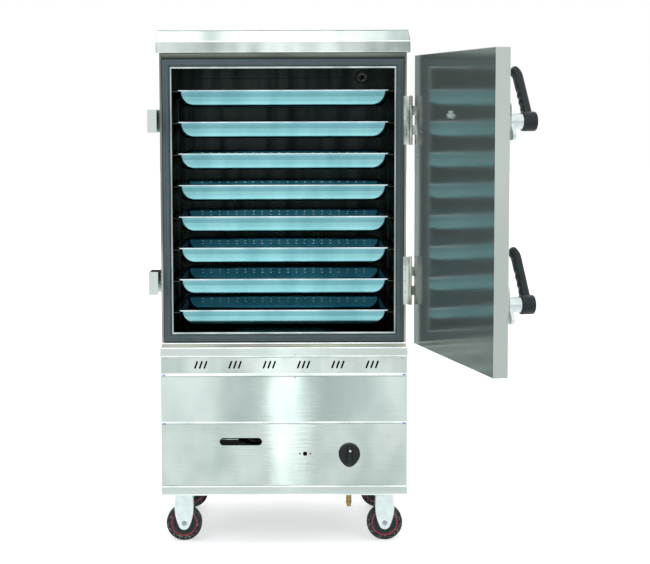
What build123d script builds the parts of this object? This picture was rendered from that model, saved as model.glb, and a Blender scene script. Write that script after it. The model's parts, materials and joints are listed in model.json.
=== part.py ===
from build123d import *
from math import atan, cos, degrees, radians, sin
import os

os.makedirs("parts", exist_ok=True)

# Gas rice steamer cabinet on castors, with its door standing open.
# Millimetres. +X is to the right, +Y to the back and +Z up.
# The origin is on the floor, in the middle of the four castors.

# Sheet metal and fits
sheet = 1.5
seat_gap = 0.3
running_gap = 0.05

# Upper body, with insulated walls round the steaming chamber
body_depth = 540
wall = 27.5
opening_width = 608
opening_height = 723.5
opening_sill = 42
opening_head = 42
frame_border = 33.5
chamber_lip = 14
trim_width = 6
trim_proud = 2
trim_bevel = 0.6
gasket_width = 19
gasket_thickness = 8
gasket_crown = 2.5
back_panel_margin = 22
back_panel_relief = 2.5
back_panel_corner = 27

# Cap
cap_side_overhang = 9.5
cap_end_overhang = 10
cap_height = 61.5
cap_band = 31
cap_lean = 6
cap_flange = 45
cap_edge = 5

# Base cabinet of angle steel, closed by sheets
castor_height = 139.5
base_side_step = 4.5
base_end_step = 5
base_height = 416
rail = 25
panel_step = 1
panel_return = 12
panel_split = 203
strip_height = 47.5
strip_bead = 7
strip_bead_proud = 2
strip_bead_bevel = 1
gusset_width = 150
gusset_depth = 115
burner_rail_height = 85
bar = 20

# Cut-outs of the base front
vent_count = 6
vent_pitch = 94.9
vent_middle_x = 7
vent_slots = 3
vent_slot_length = 23
vent_slot_width = 5
vent_slot_pitch = 13
vent_slot_tilt = 70
ignition_slot_width = 118
ignition_slot_height = 21
ignition_slot_x = -120.5
ignition_slot_up = 151.5
control_up = 117
mark_hole_x = 58
mark_hole = 12
mark_screw_hole = 4.5
mark_screw_spread = 29
knob_x = 181

# Trays and racks
tray_count = 8
tray_side_clearance = 4
tray_depth = 400
tray_height = 45
tray_sheet = 1.5
tray_rim = 14
tray_hem = 3.5
tray_corner = 44
tray_draft = 9
tray_foot_radius = 20
tray_setback = 30
top_tray_drop = 57.2
bottom_tray_rise = 58
runner_sheet = 2
runner_leg = 16
runner_overlap = 11.5
runner_front = 12
runner_tail = 12
upright_width = 25
upright_inset = 53.75
upright_sheet = 3

# Door, with the hinge axis beside the cabinet's right edge
door_thickness = 38
door_free_edge_in = 4.5
door_bottom_gap = 11
door_top_gap = 8.5
door_open = 102.2
door_corner = 3
door_seam = 0.4
hinge_from_edge = 11.3
hinge_from_body = 11.8
fitting_spread = 440
hinge_height = 132
hinge_leaf = 2.5
knuckle_radius = 5.3
knuckles = 5
knuckle_gap = 0.4
pin_radius = 3
pin_head_radius = 4.6
pin_head = 1.5
leaf_gap = 0.2
door_leaf_width = 33

# Latch levers and keepers
latch_from_edge = 30
latch_plate_length = 93
latch_plate_width = 44
latch_plate_thickness = 5.5
latch_plate_corner = 13.2
latch_boss_radius = 19
latch_boss_length = 38
latch_hub_radius = 23.5
latch_hub_length = 35
latch_hub_edge = 3
latch_spindle_radius = 6
latch_spindle_length = 24
lever_lean = 36
lever_reach = 130
lever_bend_radius = 34
lever_bend_angle = 52
lever_thickness = 25
lever_breadth = 22
lever_corner = 8.8
groove_count = 3
groove_start = 48
groove_pitch = 21
groove_radius = 15
groove_depth = 2.2
tongue_reach = 52
tongue_width = 22
tongue_thickness = 7.5
keeper_height = 62
keeper_plate = 3
keeper_overlap = 13
keeper_plate_width = 25
keeper_base_length = 40
keeper_step_back = 8

# Dial thermometer through the door
dial_off_middle = 13.8
dial_below_top = 161.5
dial_radius = 31
dial_depth = 14
dial_wall = 3
dial_stem_radius = 4
dial_stem_inside = 13
dial_pin_radius = 1.5
dial_pin_height = 3
dial_pin_clearance = 1
pointer_length = 23
pointer_tail = 8
pointer_width = 3
pointer_thickness = 1
pointer_hub_margin = 2
lobe_count = 3
lobe_radius = 4.5
lobe_circle = 7.5
lobe_nut_height = 6

# Steam vent in the chamber's back wall
vent_pipe_inset = 73.5
vent_pipe_drop = 29.5
vent_flange_radius = 19
vent_flange = 4
vent_flange_bevel = 1.5
vent_pipe_radius = 11
vent_pipe_wall = 1.5
vent_pipe_out = 26
vent_spigot = 24
vent_spigot_radius = 10.4

# Water tank below the chamber, with its plate, inlet and drain
tank_width = 540
tank_depth = 400
tank_height = 180
tank_foot_radius = 12
steam_opening_width = 460
steam_opening_depth = 320
steam_plate_overlap = 12
steam_plate_sheet = 2
steam_column_count = 7
steam_row_count = 4
steam_slot_length = 42
steam_slot_width = 9
drain_x = -150
drain_up = 24
drain_radius = 11
drain_bore = 8
drain_out = 46
drain_bore_depth = 13.8
drain_valve_radius = 17
drain_valve_length = 34
drain_stem_radius = 4
drain_stem_height = 12
drain_lever_length = 62
drain_lever_width = 16
drain_lever_thickness = 3
drain_lever_eye = 9.6
filler_x = 150
filler_up = 105
filler_radius = 8
filler_bore = 6
filler_out = 24
filler_spigot = 22
filler_spigot_radius = 7.4

# Gas train
knob_radius = 29
knob_skirt = 9
knob_depth = 25
knob_skirt_draft = 6
knob_bar_draft = 7
knob_edge = 2
knob_bar_width = 15
knob_bar_up = 25
knob_bar_down = 35
knob_gap = 1.5
spindle_radius = 4
spindle_hole = 5
valve_radius = 15
valve_length = 46
valve_neck_radius = 10.5
valve_setback = 8
pipe_radius = 6
pipe_bend = 12
feed_run = 15
feed_ahead = 30
inlet_setback = 44
inlet_radius = 6.5
inlet_barb_radius = 8.5
inlet_bore = 4
inlet_drop = 41
inlet_nose = 6
inlet_nose_radius = 6
inlet_barbs = 3
inlet_nut_radius = 12
inlet_nut = 8
inlet_nut_bite = 1
inlet_bracket_width = 48
burner_radius = 135
burner_inner_radius = 62
burner_channel = 26
burner_depth = 24
burner_arm = 18
mixer_radius = 19
mixer_cup = 20
mixer_throat_gap = 3
mixer_tube_slack = 1

# Castors
castor_inset_x = 59.5
castor_inset_y = 65
wheel_radius = 50
wheel_width = 32
wheel_shoulder = 7
wheel_hub_radius = 13
wheel_hub_proud = 2.5
wheel_recess_radius = 38
wheel_recess = 3
wheel_recess_slope = 2
axle_radius = 4
axle_head_radius = 7
axle_head = 5
axle_head_draft = 20
fork_sheet = 3
fork_gap = 38
fork_top_width = 47
fork_belly_width = 53
fork_tip_radius = 16
fork_tip_drop = 18
fork_belly_up = 47.5
fork_waist_up = 17
fork_waist_width = 46.11
fork_knee_down = 11
fork_knee_width = 26.24
castor_plate_x = 100
castor_plate_y = 84
castor_plate_sheet = 3
castor_plate_corner = 8
swivel_trail = 33
swivel_crown_radius = 27
swivel_crown = 9
swivel_crown_width = 45.9
king_pin_radius = 7
king_head_radius = 11
king_head = 3

# Levels and faces worked out from the sizes above
body_width = opening_width + 2 * frame_border
body_height = opening_sill + opening_height + opening_head
cap_width = body_width + 2 * cap_side_overhang
cap_depth = body_depth + 2 * cap_end_overhang
base_width = body_width + 2 * base_side_step
base_depth = body_depth + 2 * base_end_step
front = -body_depth / 2
back = body_depth / 2
body_bottom = castor_height + base_height
body_top = body_bottom + body_height
body_middle = (body_bottom + body_top) / 2
opening_bottom = body_bottom + opening_sill
opening_top = opening_bottom + opening_height
opening_middle = (opening_bottom + opening_top) / 2
chamber_width = body_width - 2 * wall
chamber_floor = opening_bottom - chamber_lip
chamber_top = opening_top + chamber_lip
chamber_back = back - wall
chamber_height = chamber_top - chamber_floor
trim_outer_width = opening_width + 2 * trim_width
trim_outer_height = opening_height + 2 * trim_width
gasket_outer_width = trim_outer_width + 2 * gasket_width
gasket_outer_height = trim_outer_height + 2 * gasket_width
fitting_heights = (body_middle - fitting_spread / 2, body_middle + fitting_spread / 2)
base_front = -base_depth / 2
base_back = base_depth / 2
rail_sheet = panel_step + sheet
base_top = body_bottom
panel_face = base_front + panel_step
panels_bottom = castor_height + rail
panels_top = base_top - rail
split_height = castor_height + panel_split
strip_bottom = panels_top - strip_height
control_height = castor_height + control_up
tank_top = chamber_floor - sheet
tank_bottom = tank_top - tank_height
inner_width = body_width - 2 * sheet

# The door's own directions: along it from the hinge to the free edge, and out of its face
hinge_x = body_width / 2 + hinge_from_body
hinge_y = front - hinge_leaf / 2
along = (-cos(radians(door_open)), -sin(radians(door_open)))
outward = (sin(radians(door_open)), -cos(radians(door_open)))
outward_vector = Vector(outward[0], outward[1], 0)
inner_face = gasket_thickness + seat_gap - hinge_leaf / 2
outer_face = inner_face + door_thickness
door_near = hinge_from_edge
door_far = hinge_x + body_width / 2 - door_free_edge_in
door_width = door_far - door_near
door_bottom = body_bottom + door_bottom_gap
door_top = body_top - door_top_gap
door_height = door_top - door_bottom
door_middle_along = (door_near + door_far) / 2
door_middle_height = (door_bottom + door_top) / 2
dial_along = door_middle_along - dial_off_middle
dial_height = door_top - dial_below_top
frame_leaf_width = hinge_x - knuckle_radius - gasket_outer_width / 2 - leaf_gap
latch_along = door_far - latch_from_edge


def door_plan(height):
    """A level plane at the hinge axis: x runs along the door and y out of it."""
    return Plane(
        origin=(hinge_x, hinge_y, height), x_dir=(along[0], along[1], 0), z_dir=(0, 0, 1)
    )


def door_point(distance, out, height):
    """A point of the open door, by its distance from the hinge axis and its height."""
    return (
        hinge_x + distance * along[0] + out * outward[0],
        hinge_y + distance * along[1] + out * outward[1],
        height,
    )


def door_side(out):
    """A plane parallel to the door: x runs along it, y is the height, z points inwards."""
    return Plane(
        origin=door_point(0, out, 0),
        x_dir=(along[0], along[1], 0),
        z_dir=(-outward[0], -outward[1], 0),
    )


def front_view(depth):
    """An upright plane at y = depth: x to the right, y up, and its normal to the front."""
    return Plane(origin=(0, depth, 0), x_dir=(1, 0, 0), z_dir=(0, -1, 0))


def save(piece, label):
    piece.part.label = label
    export_step(piece.part, f"parts/{label}.step")


# Cap: an upright band under a band that leans back, hollow, on an inward flange
with BuildPart() as top_cap:
    with BuildSketch(Plane.XY.offset(body_top)):
        RectangleRounded(cap_width, cap_depth, cap_edge)
    extrude(amount=cap_band)
    with BuildSketch(Plane.XY.offset(body_top + cap_band)):
        RectangleRounded(cap_width, cap_depth, cap_edge)
    extrude(amount=cap_height - cap_band, taper=degrees(atan(cap_lean / (cap_height - cap_band))))
    fillet(top_cap.edges().filter_by(Axis.Y).group_by(Axis.Z)[0], cap_edge)
    with BuildSketch(Plane.XY.offset(body_top + sheet)):
        Rectangle(cap_width - 2 * sheet, cap_depth - 2 * sheet)
    extrude(amount=cap_band - sheet, mode=Mode.SUBTRACT)
    with BuildSketch(Plane.XY.offset(body_top + cap_band)):
        Rectangle(cap_width - 2 * sheet, cap_depth - 2 * sheet)
    extrude(
        amount=cap_height - cap_band - sheet,
        taper=degrees(atan(cap_lean / (cap_height - cap_band))),
        mode=Mode.SUBTRACT,
    )
    with BuildSketch(Plane.XY.offset(body_top)):
        Rectangle(cap_width - 2 * cap_flange, cap_depth - 2 * cap_flange)
    extrude(amount=sheet, mode=Mode.SUBTRACT)
save(top_cap, "top_cap")


# Two outer side sheets, from the base to the cap, behind the front frame
with BuildPart() as side_panels:
    with BuildSketch(Plane.XY.offset(body_bottom)):
        with GridLocations(body_width - sheet, 1, 2, 1):
            Rectangle(sheet, body_depth - 2 * sheet)
    extrude(amount=body_height)
save(side_panels, "side_panels")

# Outer back sheet, with the hole for the steam vent
vent_height = chamber_top - vent_pipe_drop
vent_pipe_x = chamber_width / 2 - vent_pipe_inset
with BuildPart() as rear_panel:
    with BuildSketch(front_view(back)):
        with Locations((0, body_middle)):
            Rectangle(body_width, body_height)
        with Locations((vent_pipe_x, vent_height)):
            Circle(vent_pipe_radius, mode=Mode.SUBTRACT)
    extrude(amount=sheet)
save(rear_panel, "rear_panel")

# Chamber: a box of sheet, open to the front, with a raised field in its back wall
with BuildPart() as chamber_liner:
    with BuildSketch(front_view(chamber_back + sheet)):
        with Locations((0, (chamber_floor + chamber_top) / 2)):
            Rectangle(chamber_width + 2 * sheet, chamber_height + 2 * sheet)
    extrude(amount=chamber_back - front)
    with BuildSketch(front_view(chamber_back)):
        with Locations((0, (chamber_floor + chamber_top) / 2)):
            Rectangle(chamber_width, chamber_height)
    extrude(amount=chamber_back - front, mode=Mode.SUBTRACT)
    with BuildSketch(front_view(chamber_back)):
        with Locations((0, (chamber_floor + chamber_top) / 2)):
            RectangleRounded(
                chamber_width - 2 * back_panel_margin,
                chamber_height - 2 * back_panel_margin,
                back_panel_corner,
            )
    extrude(amount=back_panel_relief)
    with BuildSketch(front_view(chamber_back - back_panel_relief)):
        with Locations((vent_pipe_x, vent_height)):
            Circle(vent_pipe_radius)
    extrude(amount=-(back_panel_relief + sheet), mode=Mode.SUBTRACT)
    with BuildSketch(Plane.XY.offset(chamber_floor - sheet)):
        Rectangle(steam_opening_width, steam_opening_depth)
    extrude(amount=sheet, mode=Mode.SUBTRACT)
save(chamber_liner, "chamber_liner")

# Foam between the chamber and the outer sheets, open to the front and for the tank
with BuildPart() as insulation:
    with BuildSketch(Plane.XY.offset(body_bottom)):
        Rectangle(inner_width, body_depth - 2 * sheet)
    extrude(amount=body_height)
    with BuildSketch(front_view(chamber_back + sheet)):
        with Locations((0, (chamber_floor + chamber_top) / 2)):
            Rectangle(chamber_width + 2 * sheet, chamber_height + 2 * sheet)
    extrude(amount=chamber_back - front, mode=Mode.SUBTRACT)
    with BuildSketch(front_view(back - sheet)):
        with Locations((vent_pipe_x, vent_height)):
            Circle(vent_pipe_radius)
    extrude(amount=wall, mode=Mode.SUBTRACT)
    with BuildSketch(Plane.XY.offset(body_bottom)):
        Rectangle(tank_width, tank_depth)
    extrude(amount=tank_top - body_bottom, mode=Mode.SUBTRACT)
save(insulation, "insulation")

# Front frame: the flat border of the body's front, with a raised trim round the opening
with BuildPart() as front_frame:
    with BuildSketch(front_view(front + sheet)):
        with Locations((0, body_middle)):
            Rectangle(body_width, body_height)
        with Locations((0, opening_middle)):
            Rectangle(opening_width, opening_height, mode=Mode.SUBTRACT)
    extrude(amount=sheet)
    with BuildSketch(front_view(front)):
        with Locations((0, opening_middle)):
            Rectangle(trim_outer_width, trim_outer_height)
            Rectangle(opening_width, opening_height, mode=Mode.SUBTRACT)
    extrude(amount=trim_proud)
    chamfer(front_frame.faces().sort_by(Axis.Y)[0].edges(), trim_bevel)
save(front_frame, "front_frame")

# Silicone gasket strip round the trim, with a crowned front
with BuildPart() as frame_gasket:
    with BuildSketch(front_view(front)):
        with Locations((0, opening_middle)):
            Rectangle(gasket_outer_width, gasket_outer_height)
            Rectangle(trim_outer_width, trim_outer_height, mode=Mode.SUBTRACT)
    extrude(amount=gasket_thickness)
    chamfer(frame_gasket.faces().sort_by(Axis.Y)[0].edges(), gasket_crown)
save(frame_gasket, "frame_gasket")

# Tray levels, from the top tray down, and the runners' top faces just under the hems
tray_width = opening_width - 2 * tray_side_clearance
tray_pitch = (opening_height - top_tray_drop - bottom_tray_rise) / (tray_count - 1)
rim_levels = [opening_top - top_tray_drop - tray_pitch * level for level in range(tray_count)]
runner_levels = [level - tray_hem - seat_gap for level in rim_levels]
tray_front = front + tray_setback
tray_middle = tray_front + tray_depth / 2
runner_length = tray_setback + tray_depth + runner_tail - runner_front


def rack(side):
    """Two uprights on the chamber's side wall, with an angle runner below each tray rim."""
    wall_face = side * (chamber_width / 2 - seat_gap)
    leg_face = wall_face - side * upright_sheet
    inner_edge = side * (tray_width / 2 - runner_overlap)
    leg_middle = leg_face - side * runner_sheet / 2
    upright_top = runner_levels[0] + runner_leg
    upright_height = upright_top - chamber_floor - seat_gap
    runner_middle = front + runner_front + runner_length / 2
    with BuildPart() as pieces:
        with BuildSketch(Plane.XY.offset(chamber_floor + seat_gap)):
            with Locations((wall_face - side * upright_sheet / 2, runner_middle)):
                with GridLocations(1, runner_length - 2 * upright_inset, 1, 2):
                    Rectangle(upright_sheet, upright_width)
        extrude(amount=upright_height)
        for level in runner_levels:
            with BuildSketch(Plane.XY.offset(level)):
                with Locations(((leg_face + inner_edge) / 2, runner_middle)):
                    Rectangle(abs(leg_face - inner_edge), runner_length)
            extrude(amount=-runner_sheet)
            with BuildSketch(Plane.XY.offset(level)):
                with Locations((leg_middle, runner_middle)):
                    Rectangle(runner_sheet, runner_length)
            extrude(amount=-runner_leg)
    return pieces


save(rack(-1), "left_rack")
save(rack(1), "right_rack")


def pan(inset):
    """The pan of the top tray as a block: drafted sides and a rounded foot, set in by inset."""
    with BuildPart() as block:
        with BuildSketch(Plane.XY.offset(rim_levels[0])):
            with Locations((0, tray_middle)):
                RectangleRounded(
                    tray_width - 2 * tray_rim - 2 * inset,
                    tray_depth - 2 * tray_rim - 2 * inset,
                    tray_corner - tray_rim - inset,
                )
        extrude(amount=inset - tray_height, taper=tray_draft)
        fillet(block.faces().sort_by(Axis.Z)[0].edges(), tray_foot_radius - inset)
    return block


def rim_outline(inset):
    """The outline of the top tray's rim at its lower edge, set in by inset."""
    with BuildSketch(Plane.XY.offset(rim_levels[0] - tray_hem)) as outline:
        with Locations((0, tray_middle)):
            RectangleRounded(tray_width - 2 * inset, tray_depth - 2 * inset, tray_corner - inset)
    return outline


# Trays: a pressed pan with a flat rim, hemmed down all round its edge
with BuildPart() as top_tray:
    extrude(rim_outline(0).sketch, amount=tray_hem)
    extrude(rim_outline(tray_sheet).sketch, amount=tray_hem - tray_sheet, mode=Mode.SUBTRACT)
    add(pan(0).part)
    add(pan(tray_sheet).part, mode=Mode.SUBTRACT)

for number in range(tray_count):
    with BuildPart() as tray:
        with Locations((0, 0, -number * tray_pitch)):
            add(top_tray.part)
    save(tray, f"tray_{number + 1}")

# Steam vent: a flange on the chamber's back wall and its pipe out through the back, reduced for a hose
flange_face = chamber_back - back_panel_relief
with BuildPart() as steam_vent:
    with BuildSketch(front_view(flange_face)):
        with Locations((vent_pipe_x, vent_height)):
            Circle(vent_flange_radius)
    extrude(amount=vent_flange)
    chamfer(steam_vent.faces().sort_by(Axis.Y)[0].edges(), vent_flange_bevel)
    with BuildSketch(front_view(flange_face)):
        with Locations((vent_pipe_x, vent_height)):
            Circle(vent_pipe_radius)
    extrude(amount=-(back - flange_face + vent_pipe_out - vent_spigot))
    with BuildSketch(front_view(back + vent_pipe_out)):
        with Locations((vent_pipe_x, vent_height)):
            Circle(vent_spigot_radius)
    extrude(amount=vent_spigot)
    with BuildSketch(front_view(flange_face - vent_flange)):
        with Locations((vent_pipe_x, vent_height)):
            Circle(vent_pipe_radius - vent_pipe_wall)
    extrude(amount=-(back - flange_face + vent_flange + vent_pipe_out), mode=Mode.SUBTRACT)
save(steam_vent, "steam_vent")

# Keepers: strips bent out from the left side and forward, ending in a plate the tongues catch
door_front_closed = hinge_y - outer_face
tongue_front = door_front_closed - latch_plate_thickness - seat_gap - tongue_thickness
keeper_back_face = tongue_front - seat_gap
body_left = -body_width / 2
keeper_tip_x = hinge_x - latch_along - tongue_reach + keeper_overlap
keeper_arm_x = keeper_tip_x - keeper_plate_width
with BuildPart() as latch_keepers:
    for height in fitting_heights:
        with BuildSketch(Plane.XY.offset(height - keeper_height / 2)):
            with Locations((body_left - keeper_plate / 2, front + keeper_step_back + keeper_base_length / 2)):
                Rectangle(keeper_plate, keeper_base_length)
            with Locations(((keeper_arm_x + body_left) / 2, front + keeper_step_back + keeper_plate / 2)):
                Rectangle(body_left - keeper_arm_x, keeper_plate)
            arm_front = keeper_back_face - keeper_plate
            arm_back = front + keeper_step_back + keeper_plate
            with Locations((keeper_arm_x + keeper_plate / 2, (arm_front + arm_back) / 2)):
                Rectangle(keeper_plate, arm_back - arm_front)
            with Locations(((keeper_arm_x + keeper_tip_x) / 2, keeper_back_face - keeper_plate / 2)):
                Rectangle(keeper_plate_width, keeper_plate)
        extrude(amount=keeper_height)
save(latch_keepers, "latch_keepers")

# Hinges: knuckles of the frame's leaf and of the door's leaf in turn on a headed pin
knuckle_height = hinge_height / knuckles


def knuckle_levels(bottom, first):
    """The lower ends of every second knuckle, from number first up."""
    return [bottom + knuckle_height * number for number in range(first, knuckles, 2)]


with BuildPart() as frame_hinge_leaves:
    leaf_left = hinge_x - knuckle_radius - frame_leaf_width
    for height in fitting_heights:
        bottom = height - hinge_height / 2
        with BuildSketch(Plane.XY.offset(bottom)):
            with Locations((leaf_left + frame_leaf_width / 2, hinge_y)):
                Rectangle(frame_leaf_width, hinge_leaf)
        extrude(amount=hinge_height)
        for level in knuckle_levels(bottom, 0):
            with BuildSketch(Plane.XY.offset(level + knuckle_gap / 2)):
                with Locations((hinge_x, hinge_y)):
                    Circle(knuckle_radius)
                with Locations((hinge_x - knuckle_radius, hinge_y)):
                    Rectangle(2 * knuckle_radius, hinge_leaf)
                with Locations((hinge_x, hinge_y)):
                    Circle(pin_radius + running_gap, mode=Mode.SUBTRACT)
            extrude(amount=knuckle_height - knuckle_gap)
save(frame_hinge_leaves, "frame_hinge_leaves")

with BuildPart() as hinge_pins:
    for height in fitting_heights:
        bottom = height - hinge_height / 2
        with BuildSketch(Plane.XY.offset(bottom)):
            with Locations((hinge_x, hinge_y)):
                Circle(pin_radius)
        extrude(amount=hinge_height)
        for level in (bottom - pin_head, bottom + hinge_height):
            with BuildSketch(Plane.XY.offset(level)):
                with Locations((hinge_x, hinge_y)):
                    Circle(pin_head_radius)
            extrude(amount=pin_head)
save(hinge_pins, "hinge_pins")

with BuildPart() as door_hinge_leaves:
    leaf_outer = inner_face + hinge_leaf
    tab_low = knuckle_radius - hinge_leaf
    leaf_far = door_near + door_leaf_width
    for height in fitting_heights:
        bottom = height - hinge_height / 2
        with BuildSketch(door_plan(bottom)):
            with Locations(((door_near + leaf_far) / 2, (inner_face + leaf_outer) / 2)):
                Rectangle(door_leaf_width, hinge_leaf)
        extrude(amount=hinge_height)
        for level in knuckle_levels(bottom, 1):
            with BuildSketch(door_plan(level + knuckle_gap / 2)):
                Circle(knuckle_radius)
                with Locations((door_near / 2 + hinge_leaf / 2, (tab_low + knuckle_radius) / 2)):
                    Rectangle(door_near + hinge_leaf, hinge_leaf)
                with Locations((door_near + hinge_leaf / 2, (tab_low + leaf_outer) / 2)):
                    Rectangle(hinge_leaf, leaf_outer - tab_low)
                Circle(pin_radius + running_gap, mode=Mode.SUBTRACT)
            extrude(amount=knuckle_height - knuckle_gap)
save(door_hinge_leaves, "door_hinge_leaves")


def cut_leaf_pockets():
    """Pockets that let the door's hinge leaves lie flush in its inner side."""
    for height in fitting_heights:
        with BuildSketch(door_side(inner_face)) as pocket:
            with Locations((door_near + door_leaf_width / 2, height)):
                Rectangle(door_leaf_width, hinge_height)
        extrude(pocket.sketch, amount=-hinge_leaf, mode=Mode.SUBTRACT)


def cut_stem_hole(out_from, out_to):
    """The thermometer's hole through one layer of the door."""
    with BuildSketch(door_side(out_from)) as hole:
        with Locations((dial_along, dial_height)):
            Circle(dial_stem_radius)
    extrude(hole.sketch, amount=out_from - out_to, mode=Mode.SUBTRACT)


# Door skin: a folded pan with rounded outer corners, open on the chamber's side
with BuildPart() as door_skin:
    with BuildSketch(door_side(inner_face)):
        with Locations((door_middle_along, door_middle_height)):
            Rectangle(door_width, door_height)
    extrude(amount=-door_thickness)
    skin_face = door_skin.faces().sort_by(Axis(door_point(0, 0, 0), outward_vector))[-1]
    fillet(skin_face.edges(), door_corner)
    with BuildSketch(door_side(inner_face)):
        with Locations((door_middle_along, door_middle_height)):
            Rectangle(door_width - 2 * sheet, door_height - 2 * sheet)
    extrude(amount=-(door_thickness - sheet), mode=Mode.SUBTRACT)
    cut_leaf_pockets()
    cut_stem_hole(outer_face - sheet, outer_face)
save(door_skin, "door_skin")

with BuildPart() as door_inner_panel:
    with BuildSketch(door_side(inner_face)):
        with Locations((door_middle_along, door_middle_height)):
            Rectangle(
                door_width - 2 * sheet - 2 * door_seam, door_height - 2 * sheet - 2 * door_seam
            )
    extrude(amount=-sheet)
    cut_leaf_pockets()
    cut_stem_hole(inner_face, inner_face + sheet)
save(door_inner_panel, "door_inner_panel")

with BuildPart() as door_core:
    with BuildSketch(door_side(inner_face + sheet)):
        with Locations((door_middle_along, door_middle_height)):
            Rectangle(door_width - 2 * sheet, door_height - 2 * sheet)
    extrude(amount=-(door_thickness - 2 * sheet))
    cut_leaf_pockets()
    cut_stem_hole(inner_face + sheet, outer_face - sheet)
save(door_core, "door_core")

# Latch plates: rounded plates on the door with a spindle for the turning boss
with BuildPart() as latch_plates:
    for height in fitting_heights:
        with BuildSketch(door_side(outer_face)):
            with Locations((latch_along, height)):
                RectangleRounded(latch_plate_width, latch_plate_length, latch_plate_corner)
        extrude(amount=-latch_plate_thickness)
        with BuildSketch(door_side(outer_face + latch_plate_thickness)):
            with Locations((latch_along, height)):
                Circle(latch_spindle_radius)
        extrude(amount=-latch_spindle_length)
save(latch_plates, "latch_plates")


def lever_plane(height, out):
    """A plane on the latch axis, parallel to the door, with x along the lever's grip."""
    lean = radians(lever_lean)
    grip = (-sin(lean) * along[0], -sin(lean) * along[1], cos(lean))
    return Plane(
        origin=door_point(latch_along, out, height),
        x_dir=grip,
        z_dir=(-outward[0], -outward[1], 0),
    )


boss_start = outer_face + latch_plate_thickness + seat_gap
boss_end = outer_face + latch_boss_length
hub_end = boss_end + latch_hub_length


def latch_hook(height):
    """The steel boss on the spindle, with the tongue that catches behind the keeper."""
    with BuildPart() as hook:
        with BuildSketch(lever_plane(height, boss_start)):
            Circle(latch_boss_radius)
        extrude(amount=-(boss_end - boss_start))
        with BuildSketch(lever_plane(height, boss_start)):
            with Locations((-(tongue_reach - tongue_width / 2) / 2, 0)):
                Rectangle(tongue_reach - tongue_width / 2, tongue_width)
            with Locations((-(tongue_reach - tongue_width / 2), 0)):
                Circle(tongue_width / 2)
        extrude(amount=-tongue_thickness)
        with BuildSketch(lever_plane(height, boss_start)):
            Circle(latch_spindle_radius + running_gap)
        extrude(amount=-latch_spindle_length, mode=Mode.SUBTRACT)
    return hook


def latch_lever(height):
    """The moulded hub and its grip, which bends over towards the door at its end."""
    grip_plane = lever_plane(height, boss_end + latch_hub_length / 2)
    path_plane = Plane(
        origin=grip_plane.origin,
        x_dir=grip_plane.x_dir,
        z_dir=grip_plane.x_dir.cross(outward_vector),
    )
    with BuildPart() as lever:
        with BuildSketch(lever_plane(height, boss_end)):
            Circle(latch_hub_radius)
        extrude(amount=-latch_hub_length)
        fillet(lever.edges().filter_by(GeomType.CIRCLE), latch_hub_edge)
        with BuildLine(path_plane) as path:
            shaft = Line((0, 0), (lever_reach, 0))
            JernArc(start=shaft @ 1, tangent=shaft % 1, radius=lever_bend_radius, arc_size=-lever_bend_angle)
        with BuildSketch(Plane(origin=path.line @ 0, x_dir=outward_vector, z_dir=path.line % 0)):
            RectangleRounded(lever_breadth, lever_thickness, lever_corner)
        sweep(path=path.line)
        for number in range(groove_count):
            distance = groove_start + number * groove_pitch
            sink = -(lever_breadth / 2 + groove_radius - groove_depth)
            with BuildSketch(path_plane):
                with Locations((distance, sink)):
                    Circle(groove_radius)
            extrude(amount=lever_thickness, both=True, mode=Mode.SUBTRACT)
    return lever


for name, height in zip(("lower", "upper"), fitting_heights):
    save(latch_hook(height), f"{name}_latch_hook")
    save(latch_lever(height), f"{name}_latch_lever")

# Thermometer: a cup on the door's outer side, and its stem through the door
with BuildPart() as thermometer:
    with BuildSketch(door_side(outer_face)):
        with Locations((dial_along, dial_height)):
            Circle(dial_radius)
    extrude(amount=-dial_depth)
    with BuildSketch(door_side(outer_face + dial_wall)):
        with Locations((dial_along, dial_height)):
            Circle(dial_radius - dial_wall)
            Circle(dial_pin_radius, mode=Mode.SUBTRACT)
    extrude(amount=-(dial_depth - dial_wall), mode=Mode.SUBTRACT)
    with BuildSketch(door_side(outer_face)):
        with Locations((dial_along, dial_height)):
            Circle(dial_stem_radius)
    extrude(amount=door_thickness + dial_stem_inside)
    with BuildSketch(door_side(outer_face + dial_depth)):
        with Locations((dial_along, dial_height)):
            Circle(dial_pin_radius + dial_pin_clearance)
    extrude(amount=dial_depth - dial_wall - dial_pin_height, mode=Mode.SUBTRACT)
save(thermometer, "thermometer")

with BuildPart() as thermometer_pointer:
    with BuildSketch(door_side(outer_face + dial_wall + pointer_thickness)):
        with Locations((dial_along, dial_height)):
            Circle(dial_pin_radius + pointer_hub_margin)
        with Locations((dial_along - (pointer_length - pointer_tail) / 2, dial_height)):
            Rectangle(pointer_length + pointer_tail, pointer_width)
        with Locations((dial_along, dial_height)):
            Circle(dial_pin_radius + running_gap, mode=Mode.SUBTRACT)
    extrude(amount=-pointer_thickness)
save(thermometer_pointer, "thermometer_pointer")

with BuildPart() as thermometer_nut:
    with BuildSketch(door_side(inner_face)):
        with Locations((dial_along, dial_height)):
            Circle(lobe_circle)
            with PolarLocations(lobe_circle, lobe_count, start_angle=90):
                Circle(lobe_radius)
            Circle(dial_stem_radius, mode=Mode.SUBTRACT)
    extrude(amount=lobe_nut_height)
save(thermometer_nut, "thermometer_nut")


def angle_ring(level, flange_level):
    """A rectangular ring of angle steel: an upright wall and a level flange."""
    with BuildSketch(Plane.XY.offset(level)) as upright:
        Rectangle(base_width, base_depth)
        Rectangle(base_width - 2 * rail_sheet, base_depth - 2 * rail_sheet, mode=Mode.SUBTRACT)
    extrude(upright.sketch, amount=rail)
    with BuildSketch(Plane.XY.offset(flange_level)) as flange:
        Rectangle(base_width, base_depth)
        Rectangle(base_width - 2 * rail, base_depth - 2 * rail, mode=Mode.SUBTRACT)
    extrude(flange.sketch, amount=rail_sheet)


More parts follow.
